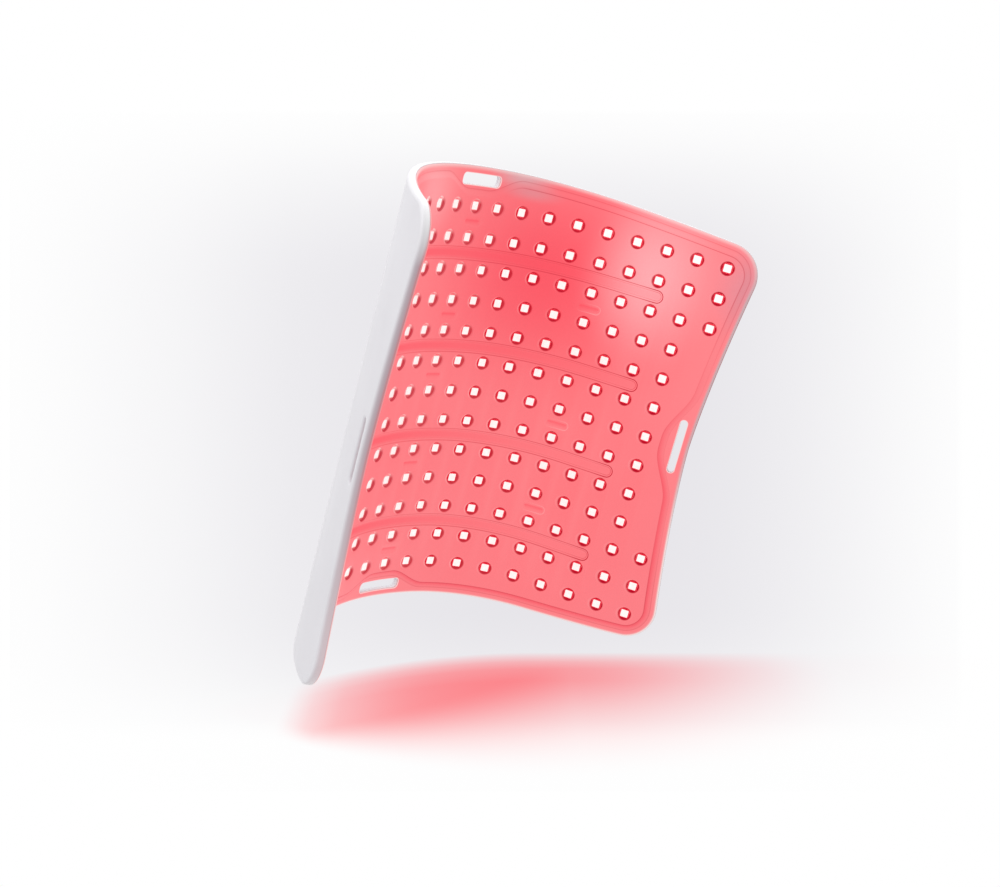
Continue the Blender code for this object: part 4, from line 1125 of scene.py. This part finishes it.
def build_cover():
    layer = Layer()
    lines = [line for line in bend_lines(1) if abs(line[0][0] - POD_U) > POD_STRETCH / 2]
    lobes = (
        LONG_SLOT_BRIDGE + LONG_SLOT[1] + SLOT_RIM - POCKET_RIM,
        SHORT_SLOT_BRIDGE + SHORT_SLOT[1] + SHORT_SLOT_RIM - POCKET_RIM,
    )
    outline = panel_ring(0.0)
    window = pod_ring(-POD_LIP_WIDTH)
    slots = slot_rings(0.0)
    # The front's outline carries a painted blush and red light, and the pocket rim a painted highlight
    loops = [
        (outline, COVER_FRONT, wall_paint(1.0, WALL_RED[0][1])),
        (panel_ring(POCKET_RIM, *lobes), COVER_FRONT, (0, 1, 0, 0)),
        (panel_ring(POCKET_RIM + POCKET_SIDE, *lobes), POCKET_FLOOR, PLAIN),
        (pod_ring(2 * SEAT_GAP), POCKET_FLOOR, PLAIN),
        (pod_ring(SEAT_GAP), PANEL_BACK - POD_LIP, PLAIN),
    ]
    front = layer.face(loops + holes([window, *slots]), lines)
    inset, _ = COVER_EDGE[0]
    edge = panel_ring(inset)
    back_slots = slot_rings(inset)
    back = layer.face([(edge, PANEL_BACK, PLAIN), *holes([window, *back_slots])], lines, back=True)
    rounds = [(out, PANEL_BACK - down) for out, down in reversed(COVER_EDGE[1:])]
    stack = [(outline, COVER_FRONT + deep, wall_paint(1.0, red)) for deep, red in WALL_RED[1:]]
    for out, depth in rounds:
        blush = min((PANEL_BACK - depth) / WALL_BLUSH_DEPTH, 1.0)
        stack.append((panel_ring(out), depth, wall_paint(blush)))
    layer.wall((outline, front), stack, (edge, back))
    for index, ring in enumerate(slots):
        stack = [(slot_rings(out)[index], depth, PLAIN) for out, depth in rounds]
        layer.wall((ring, front), stack, (back_slots[index], back))
    layer.wall((window, front), [], (window, back))
    return layer.piece("back_cover_white", white_silicone)


on_body(build_cover(), ["back_cover"], "panel")

# Bus circuit, inside: a polyimide flex that joins the five bands and dips into the pod.
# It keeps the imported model's shape and is amber film over faint copper tracks.

TRACK_SPACING = 1.9635
# A wave texture turns by this many radians in a unit of length
WAVE_TURN = 20


def dress(name, finish):
    """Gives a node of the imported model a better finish; its mesh stays."""
    for slot in frame["nodes"][name].material_slots:
        slot.material = finish


def polyimide_film():
    """Laminated amber film, glossy, with the tracks showing through as darker bands."""
    sockets = {"Roughness": 0.3}
    made, tree, shader, place = new_material("amber polyimide film", sockets, grain_mm=(0.5, 0.01))
    scale = math.tau / WAVE_TURN / (TRACK_SPACING * MM)
    inputs = {"Vector": place, "Scale": scale, "Distortion": 0.4}
    tracks = add_node(tree, "ShaderNodeTexWave", inputs, wave_type="BANDS", bands_direction="Z")
    fill(tree, shader, {"Base Color": layered(tree, "B9741F", (tracks.outputs["Fac"], "8E4A14"))})
    return made


dress("bus_circuit", polyimide_film())

# Control pod: a white plastic shell over a thin base plate, clamped round the lip of the cover's
# window by four screws. Its edge is round, and it has seats for the button, lens and screws.

SHELL_RIM = PANEL_BACK + SEAT_GAP
SHELL_WALL = 1.6
SHELL_INNER = POD_BACK - SHELL_WALL
SHELL_SOFT = (4.4, 3.6)
SHELL_SOFT_STEPS = 9
BUTTON_V = 24.0
BUTTON_HOLE = 5.3
LENS_V = 34.5
LENS_HOLE = 1.6
BOSS_APART = (12.0, 36.0)
BOSSES = [(POD_U + u * BOSS_APART[0], v * BOSS_APART[1]) for u in (1, -1) for v in (1, -1)]
SCREW_HOLE = 1.1
COUNTERBORE = (2.0, 1.2)
HOLE_CHAMFER = 0.25
FACE_MARGIN = 0.35
HOLE_SIDES = 40
MOUTH = (9.6, 3.8)
MOUTH_STEPS = 6
MOUTH_DEPTH = 9.9
MOUTH_REACH = 3.0


def build_shell():
    layer = Layer()
    face_holes = [((POD_U, BUTTON_V), BUTTON_HOLE, 0), ((POD_U, LENS_V), LENS_HOLE, 0)]
    face_holes += [(centre, SCREW_HOLE, COUNTERBORE[1]) for centre in BOSSES]
    soft_in, soft_down = SHELL_SOFT
    face, wall = pod_ring(-soft_in), pod_ring(-SHELL_WALL)
    rim = layer.face([(pod_ring(0.0), SHELL_RIM, PLAIN), *holes([wall])])
    inner = [(wall, SHELL_INNER, PLAIN)]
    outer = [(face, POD_BACK, PLAIN), (pod_ring(-soft_in - FACE_MARGIN), POD_BACK, PLAIN)]
    walls = []
    for centre, radius, sunk in face_holes:
        straight = COUNTERBORE[0] if sunk else radius
        deep, shallow, mouth, margin = (
            round_ring(size, centre, HOLE_SIDES)
            for size in (radius, straight, straight + HOLE_CHAMFER, straight + HOLE_CHAMFER + FACE_MARGIN)
        )
        inner += holes([deep])
        outer += [(margin, POD_BACK, PLAIN), *holes([mouth])]
        stack = [(deep, POD_BACK - sunk, PLAIN), (shallow, POD_BACK - sunk, PLAIN)] if sunk else []
        walls.append((deep, [*stack, (shallow, POD_BACK - HOLE_CHAMFER, PLAIN)], mouth))
    inside = layer.face(inner)
    outside = layer.face(outer, back=True)
    rounds = []
    for step in range(SHELL_SOFT_STEPS):
        turn = step / SHELL_SOFT_STEPS * math.pi / 2
        depth = POD_BACK - soft_down * (1 - math.sin(turn))
        rounds.append((pod_ring(-soft_in * (1 - math.cos(turn))), depth, PLAIN))
    layer.wall((pod_ring(0.0), rim), rounds, (face, outside))
    layer.wall((wall, rim), [], (wall, inside))
    for deep, stack, mouth in walls:
        layer.wall((deep, inside), stack, (mouth, outside))
    return layer.piece("pod_shell_blank", pod_white)


def cut_mouth(shell):
    """Cuts the mouth for the charge socket through the pod's lower wall."""
    bar = bar_ring(MOUTH[0], MOUTH[1], MOUTH[1], (POD_U, MOUTH_DEPTH), MOUTH_STEPS)
    cutter = bmesh.new()
    ends = []
    for v in (-POD_SIZE[1] / 2 - MOUTH_REACH, -POD_SIZE[1] / 2 + MOUTH_REACH):
        ends.append([cutter.verts.new(placed(u, v, d)) for u, d in bar])
        cutter.faces.new(ends[-1])
    for index in range(len(bar)):
        after = (index + 1) % len(bar)
        cutter.faces.new((ends[0][index], ends[0][after], ends[1][after], ends[1][index]))
    bmesh.ops.recalc_face_normals(cutter, faces=cutter.faces)
    mesh = bpy.data.meshes.new("mouth cutter")
    cutter.to_mesh(mesh)
    cutter.free()
    tool = bpy.data.objects.new("mouth cutter", mesh)
    scene.collection.objects.link(tool)
    cut = shell.modifiers.new("mouth", "BOOLEAN")
    cut.object = tool
    cut.operation = "DIFFERENCE"
    cut.solver = "EXACT"
    done = plain_mesh(shell, "pod_shell")
    bpy.data.objects.remove(tool)
    return done


# ABS, moulded in a spark-eroded tool: a fine even texture that softens its highlights
spark = {"Roughness": 0.42}
pod_white = mottled(
    "white plastic, fine spark texture", "DFDCE2", "EAE8EC", spark, patch_mm=25, grain_mm=(0.45, 0.02)
)
# The same plastic from a plain tool: smoother and a little glossier
smooth = {"Roughness": 0.35}
base_white = mottled(
    "white plastic, smooth", "D9D7DC", "E3E1E6", smooth, patch_mm=25, grain_mm=(0.6, 0.01)
)
on_body(cut_mouth(build_shell()), ["pod_cover"], "panel")
dress("pod_base", base_white)

# Power button: a moulded grey cap with a dished top, kept in its hole by a flange.
# It rides on the board's switch, and goes in by 0.6 mm when it is pressed.

# A ring of the cap is (radius, depth)
BUTTON_PROFILE = (
    (6.0, 12.1),
    (6.0, 12.7),
    (5.9, 12.8),
    (5.0, 12.8),
    (5.0, 14.85),
    (4.93, 15.1),
    (4.75, 15.25),
    (4.5, 15.3),
    (4.0, 15.25),
    (3.3, 15.14),
    (2.5, 15.06),
    (1.3, 15.01),
    (0.4, 15.0),
)
BUTTON_SIDES = 48


def turned(name, centre, profile, finish, sides):
    """A body turned about the line through its centre; the profile is (radius, depth), front to back."""
    layer = Layer()
    rings = [(round_ring(radius, centre, sides), depth, PLAIN) for radius, depth in profile]
    start = layer.face(rings[:1])
    end = layer.face(rings[-1:], back=True)
    layer.wall((rings[0][0], start), rings[1:-1], (rings[-1][0], end))
    return layer.piece(name, finish)


# ABS, moulded: satin, so that the dish shows by a soft highlight
satin = {"Roughness": 0.38}
button_grey = mottled("grey plastic, satin", "A9ABB2", "B6B8BE", satin, patch_mm=8, grain_mm=(0.3, 0.012))
button = turned("button_cap", (POD_U, BUTTON_V), BUTTON_PROFILE, button_grey, BUTTON_SIDES)
on_body(button, ["power_button"], "button")

# Indicator lens: a moulded light pipe of clear acrylic, held by a collar under the pod's face.
# It carries the board's lamp to the face, where it ends in a low crown.

# A ring of the lens is (radius, depth)
LENS_PROFILE = (
    (1.3, 11.1),
    (1.3, 12.0),
    (2.2, 12.0),
    (2.2, 12.8),
    (1.3, 12.8),
    (1.3, 14.5),
    (1.22, 14.66),
    (1.05, 14.75),
    (0.6, 14.79),
    (0.2, 14.8),
)
LENS_SIDES = 32

# Acrylic, moulded and frosted: milky, and half clear
frosted = {"Transmission Weight": 0.4, "IOR": 1.49, "Roughness": 0.22}
acrylic = mottled(
    "clear acrylic, frosted", "E9F3F2", "FFFFFF", frosted, patch_mm=1.5, grain_mm=(0.25, 0.006)
)
lens = turned("lens_clear", (POD_U, LENS_V), LENS_PROFILE, acrylic, LENS_SIDES)
on_body(lens, ["indicator_lens"], "panel")

# Pod screws: four nickel-plated pan-head screws with a cross recess, down in their counterbores.
# They draw the shell to the base plate, with the cover's lip between the two.

SCREW_SIZES = {
    "Head Radius": 1.7,
    "Head Side": 0.5,
    "Head Crown": 0.3,
    "Crown Radius": 1.35,
    "Shaft Radius": 0.8,
    "Shaft Length": 8.0,
    "Recess Length": 1.9,
    "Recess Width": 0.42,
    "Recess Depth": 0.5,
}
SCREW_SEAT = POD_BACK - COUNTERBORE[1] + SEAT_GAP
HEAD_SIDES = 32
SHAFT_SIDES = 20


def screw_tree():
    """Geometry Nodes that put a cross-recessed screw on every point, its seat at the point."""
    tree, given = new_tree("pod screws", SCREW_SIZES)

    def raised(mesh, height):
        rise = add_node(tree, "ShaderNodeCombineXYZ", {"Z": height})
        return add_node(tree, "GeometryNodeTransform", {"Geometry": mesh, "Translation": rise})

    def drum(radius, length, sides, middle_share):
        inputs = {"Radius": given[radius], "Depth": given[length], "Vertices": sides}
        body = add_node(tree, "GeometryNodeMeshCylinder", inputs)
        terms = {0: given[length], 1: middle_share}
        return raised(body, add_node(tree, "ShaderNodeMath", terms, operation="MULTIPLY"))

    cone = {
        "Radius Top": given["Crown Radius"],
        "Radius Bottom": given["Head Radius"],
        "Depth": given["Head Crown"],
        "Vertices": HEAD_SIDES,
    }
    crown = raised(add_node(tree, "GeometryNodeMeshCone", cone), given["Head Side"])
    both = {"Mesh 2": [drum("Head Radius", "Head Side", HEAD_SIDES, 0.5), crown]}
    head = add_node(tree, "GeometryNodeMeshBoolean", both, operation="UNION", solver="EXACT")
    terms = {0: given["Head Side"], 1: given["Head Crown"]}
    top = add_node(tree, "ShaderNodeMath", terms, operation="ADD")
    arms = []
    for first, second in (("Recess Length", "Recess Width"), ("Recess Width", "Recess Length")):
        size = {"X": given[first], "Y": given[second], "Z": given["Recess Depth"]}
        size = add_node(tree, "ShaderNodeCombineXYZ", size)
        arms.append(raised(add_node(tree, "GeometryNodeMeshCube", {"Size": size}), top))
    cut = {"Mesh 1": head, "Mesh 2": arms}
    head = add_node(tree, "GeometryNodeMeshBoolean", cut, operation="DIFFERENCE", solver="EXACT")
    shaft = drum("Shaft Radius", "Shaft Length", SHAFT_SIDES, -0.5)
    whole = add_node(tree, "GeometryNodeJoinGeometry", {"Geometry": [head, shaft]})
    spread = spread_on_points(tree, given["Geometry"], whole, steel)
    add_node(tree, "NodeGroupOutput", {"Geometry": spread})
    return tree


# Nickel-plated steel, tumbled: bright metal, mottled by handling
plated = {"Metallic": 1.0, "Roughness": 0.28}
steel = mottled(
    "nickel-plated steel", "A7A9AD", "C9CACD", plated, patch_mm=0.8, grain_mm=(0.15, 0.004), detail=4.0
)
places = [(u, v, SCREW_SEAT) for u, v in BOSSES]
screws = repeated("pod_screws", places, 1, screw_tree(), SCREW_SIZES)
on_body(screws, ["pod_screw_1", "pod_screw_2", "pod_screw_3", "pod_screw_4"], "panel")

# Inside the pod: a foil-pouched cell and the driver board, both as packed. The cell is matt
# aluminium foil, the board green solder mask over its tracks.

PAD_SPACING = 2.2222
TRACK_EDGE_SHARE = 0.08

# Aluminium foil, laminated and heat-sealed: dull metal, creased all over
dull = {"Metallic": 0.9, "Roughness": 0.4}
foil = mottled(
    "aluminium foil pouch", "9FA1A6", "C4C5C9", dull, patch_mm=6, grain_mm=(3.0, 0.12), detail=3.0
)


def board_green():
    """Printed green solder mask, glossy, with the copper under it as paler lines."""
    name = "green solder mask over copper"
    made, tree, shader, place = new_material(name, {"Roughness": 0.32}, grain_mm=(0.4, 0.01))
    inputs = {"Vector": place, "Scale": 1 / (PAD_SPACING * MM)}
    tracks = add_node(tree, "ShaderNodeTexVoronoi", inputs, feature="DISTANCE_TO_EDGE")
    near = add_node(tree, "ShaderNodeMapRange", {"Value": tracks, "From Max": TRACK_EDGE_SHARE})
    fill(tree, shader, {"Base Color": layered(tree, "2F7A4B", (near, "14512E"))})
    return made


dress("battery_cell", foil)
dress("driver_board", board_green())

# Charge socket: a shell of drawn, tinned steel round a black contact tongue, soldered to the board.
# It looks out of the mouth in the pod's lower wall.

DRAWN_STRETCH = (6, 6, 1)


def drawn_steel():
    """Tinned steel, deep-drawn: bright metal with streaks along the way it was drawn."""
    sockets = {"Metallic": 1.0, "Roughness": 0.3}
    made, tree, shader, place = new_material("drawn tinned steel", sockets, grain_mm=(0.2, 0.004))
    along = add_node(tree, "ShaderNodeMapping", {"Vector": place, "Scale": DRAWN_STRETCH})
    streaks = clouded(tree, along, patch_mm=2.0, detail=3.0)
    fill(tree, shader, {"Base Color": layered(tree, "A9A8A6", (streaks, "C6C5C3"))})
    return made


# Glass-filled plastic, moulded: near black and matt
matt = {"Roughness": 0.5}
tongue_black = mottled(
    "black glass-filled plastic", "141415", "242426", matt, patch_mm=1.2, grain_mm=(0.2, 0.008)
)
dress("socket_shell", drawn_steel())
dress("socket_tongue", tongue_black)

# Floor: pale and level in the photograph, with the soft pool of red light that the panel throws.
# Away from the pool it is as white as the room behind it, so only the pool is painted.

FLOOR_FOOT = (-0.5198, -0.5646, -0.0375)
FLOOR_RIGHT = (0.6873, -0.6995, 0.1959)
FLOOR_ALONG = (0.7171, 0.6963, -0.0295)
FLOOR_HALF_WIDTH = 0.60
FLOOR_NEAR = 0.30
FLOOR_FAR = 1.40
# The pool's far edge bends in to the left of a line, and its near edge bends away from its middle
POOL_FAR = 0.945
POOL_FAR_BEND = 3.0
POOL_FAR_BEND_FROM = 0.02
POOL_NEAR = 0.742
POOL_NEAR_BEND = 2.2
POOL_NEAR_MIDDLE = 0.04
POOL_DEPTH = (-0.005, 0.05)
POOL_DEPTH_SHARES = ((0.0, 0.0), (0.15, 0.25), (0.35, 0.54), (0.6, 0.74), (1.0, 0.84))
POOL_WIDTH = (-0.122, 0.20)
POOL_WIDTH_SHARES = (
    (0.0, 0.0),
    (0.02, 0.1),
    (0.05, 0.36),
    (0.1, 0.6),
    (0.2, 0.87),
    (0.3, 0.94),
    (0.42, 0.98),
    (0.56, 0.94),
    (0.72, 0.62),
    (0.88, 0.25),
    (1.0, 0.0),
)
# The near edge is softer to the right: its softness goes from the first value to the last across a span
POOL_SOFT = (0.03, 0.20)
POOL_SOFT_ACROSS = (-0.10, 0.0417)
# Each sum is (name, operation, terms)
POOL_SUMS = (
    ("past", "SUBTRACT", "across", POOL_FAR_BEND_FROM),
    ("past", "MINIMUM", "past", 0.0),
    ("far", "MULTIPLY", "past", "past"),
    ("far", "MULTIPLY_ADD", "far", -POOL_FAR_BEND, POOL_FAR),
    ("depth", "SUBTRACT", "far", "away"),
    ("off", "SUBTRACT", "across", POOL_NEAR_MIDDLE),
    ("near", "MULTIPLY", "off", "off"),
    ("near", "MULTIPLY_ADD", "near", POOL_NEAR_BEND, POOL_NEAR),
    ("inside", "SUBTRACT", "away", "near"),
)


def ramp(tree, value, span, stops, kind="B_SPLINE"):
    """A grey ramp over a span of a value."""
    inputs = {"Value": value, "From Min": span[0], "From Max": span[1]}
    share = add_node(tree, "ShaderNodeMapRange", inputs)
    made = add_node(tree, "ShaderNodeValToRGB", {"Fac": share})
    made.color_ramp.interpolation = kind
    elements = made.color_ramp.elements
    for place, grey in stops[1:-1]:
        elements.new(place).color = (grey, grey, grey, 1)
    for element, (place, grey) in ((elements[0], stops[0]), (elements[-1], stops[-1])):
        element.position = place
        element.color = (grey, grey, grey, 1)
    return made


def see_through(name, share_of, colour):
    """A material that glows by a share in front, and is clear elsewhere and from behind."""
    made = bpy.data.materials.new(name)
    made.use_nodes = True
    tree = made.node_tree
    tree.nodes.remove(tree.nodes["Principled BSDF"])
    place = add_node(tree, "ShaderNodeTexCoord").outputs["Object"]
    axes = add_node(tree, "ShaderNodeSeparateXYZ", {"Vector": place}).outputs
    behind = add_node(tree, "ShaderNodeNewGeometry").outputs["Backfacing"]
    front = add_node(tree, "ShaderNodeMath", {0: 1.0, 1: behind}, operation="SUBTRACT")
    terms = {0: share_of(tree, axes["X"], axes["Y"]), 1: front}
    share = add_node(tree, "ShaderNodeMath", terms, operation="MULTIPLY")
    glow = add_node(tree, "ShaderNodeEmission", {"Color": colour})
    clear = add_node(tree, "ShaderNodeBsdfTransparent")
    mixed = add_node(tree, "ShaderNodeMixShader", {0: share, 1: clear, 2: glow})
    fill(tree, tree.nodes["Material Output"], {"Surface": mixed})
    return made


def pool_share(tree, across, away):
    known = {"across": across, "away": away}
    for name, operation, *terms in POOL_SUMS:
        terms = {index: known.get(term, term) for index, term in enumerate(terms)}
        known[name] = add_node(tree, "ShaderNodeMath", terms, operation=operation)
    deep = ramp(tree, known["depth"], POOL_DEPTH, POOL_DEPTH_SHARES, "LINEAR")
    wide = ramp(tree, across, POOL_WIDTH, POOL_WIDTH_SHARES)
    inputs = {"From Min": POOL_SOFT_ACROSS[0], "From Max": POOL_SOFT_ACROSS[1]}
    inputs |= {"Value": across, "To Min": POOL_SOFT[0], "To Max": POOL_SOFT[1]}
    soft = add_node(tree, "ShaderNodeMapRange", inputs)
    inputs = {"Value": known["inside"], "From Max": soft}
    fade = add_node(tree, "ShaderNodeMapRange", inputs, interpolation_type="SMOOTHSTEP")
    both = add_node(tree, "ShaderNodeMath", {0: deep, 1: wide}, operation="MULTIPLY")
    return add_node(tree, "ShaderNodeMath", {0: both, 1: fade}, operation="MULTIPLY")


def stage_sheet(name, matrix, half_width, bottom, top, finish):
    """A flat sheet of the stage, seen but throwing no light or shade on the object."""
    corners = [(-half_width, bottom), (half_width, bottom), (half_width, top), (-half_width, top)]
    mesh = bpy.data.meshes.new(name)
    mesh.from_pydata([(x, y, 0) for x, y in corners], [], [(0, 1, 2, 3)])
    mesh.materials.append(finish)
    sheet = bpy.data.objects.new(name, mesh)
    sheet.matrix_world = matrix
    scene.collection.objects.link(sheet)
    sheet.visible_diffuse = False
    sheet.visible_shadow = False
    sheet.visible_glossy = False
    sheet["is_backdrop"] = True


right, along = Vector(FLOOR_RIGHT).normalized(), Vector(FLOOR_ALONG).normalized()
up = right.cross(along).normalized()
level = Matrix((right, up.cross(right), up)).transposed().to_4x4()
level.translation = FLOOR_FOOT
pool = see_through("white floor with a pool of red light", pool_share, "FF5963")
stage_sheet("floor", level, FLOOR_HALF_WIDTH, FLOOR_NEAR, FLOOR_FAR, pool)

# Backdrop: a white wall behind the object, square to the camera, in a soft pale grey shade.
# The shade fades out before the wall ends, into the white of the room.

BACKDROP_AWAY = 2.0
BACKDROP_HALF = (0.62, 0.44)
SHADE_ACROSS = (-0.61, 0.59)
SHADE_ACROSS_SHARES = (
    (0.0, 0.0),
    (0.17, 0.37),
    (0.29, 0.7),
    (0.5, 1.0),
    (0.72, 0.88),
    (0.85, 0.56),
    (0.99, 0.0),
)
SHADE_UP = (-0.375, 0.425)
SHADE_UP_SHARES = (
    (0.0, 0.0),
    (0.03, 0.2),
    (0.1, 0.7),
    (0.2, 1.0),
    (0.7, 1.0),
    (0.79, 0.9),
    (0.9, 0.4),
    (0.99, 0.0),
)


def shade_share(tree, across, upward):
    across = ramp(tree, across, SHADE_ACROSS, SHADE_ACROSS_SHARES)
    upward = ramp(tree, upward, SHADE_UP, SHADE_UP_SHARES)
    return add_node(tree, "ShaderNodeMath", {0: across, 1: upward}, operation="MULTIPLY")


wall = see_through("white wall, softly shaded", shade_share, "E4E2E7")
behind = camera.matrix_world @ Matrix.Translation((0, 0, -BACKDROP_AWAY))
stage_sheet("backdrop", behind, BACKDROP_HALF[0], -BACKDROP_HALF[1], BACKDROP_HALF[1], wall)

# Light: an even white room, a broad lamp from the upper left and a smaller one over the top edge.
# The room lights the object a little less than it shows, so that the white stays white.

ROOM_LIGHT = 0.72
MIDDLE = Vector((0.0, 0.0, 0.115))
# A lamp is (place from the middle, as metres right, up and towards the camera, power, size)
LAMPS = {"key": ((-0.8, 0.75, 0.6), 5.0, 0.8), "top": ((0.1, 1.1, -0.2), 3.0, 0.5)}

for name, (offset, power, size) in LAMPS.items():
    lamp = bpy.data.objects.new(name, bpy.data.lights.new(name, "AREA"))
    lamp.data.energy = power
    lamp.data.size = size
    lamp.location = MIDDLE + camera.matrix_world.to_3x3() @ Vector(offset)
    lamp.rotation_euler = (lamp.location - MIDDLE).to_track_quat("Z", "Y").to_euler()
    scene.collection.objects.link(lamp)

scene.world = bpy.data.worlds.new("white room")
scene.world.use_nodes = True
room = scene.world.node_tree
rays = add_node(room, "ShaderNodeLightPath").outputs
seen = rays["Is Camera Ray"]
for ray in ("Is Glossy Ray", "Is Transmission Ray"):
    seen = add_node(room, "ShaderNodeMath", {0: seen, 1: rays[ray]}, operation="MAXIMUM")
strength = add_node(room, "ShaderNodeMapRange", {"Value": seen, "To Min": ROOM_LIGHT, "To Max": 1.0})
fill(room, room.nodes["Background"], {"Color": "FFFFFF", "Strength": strength})

boxes = {"cad": cad_box, "visual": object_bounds()}
{name: [list(corner) for corner in box] for name, box in boxes.items()}
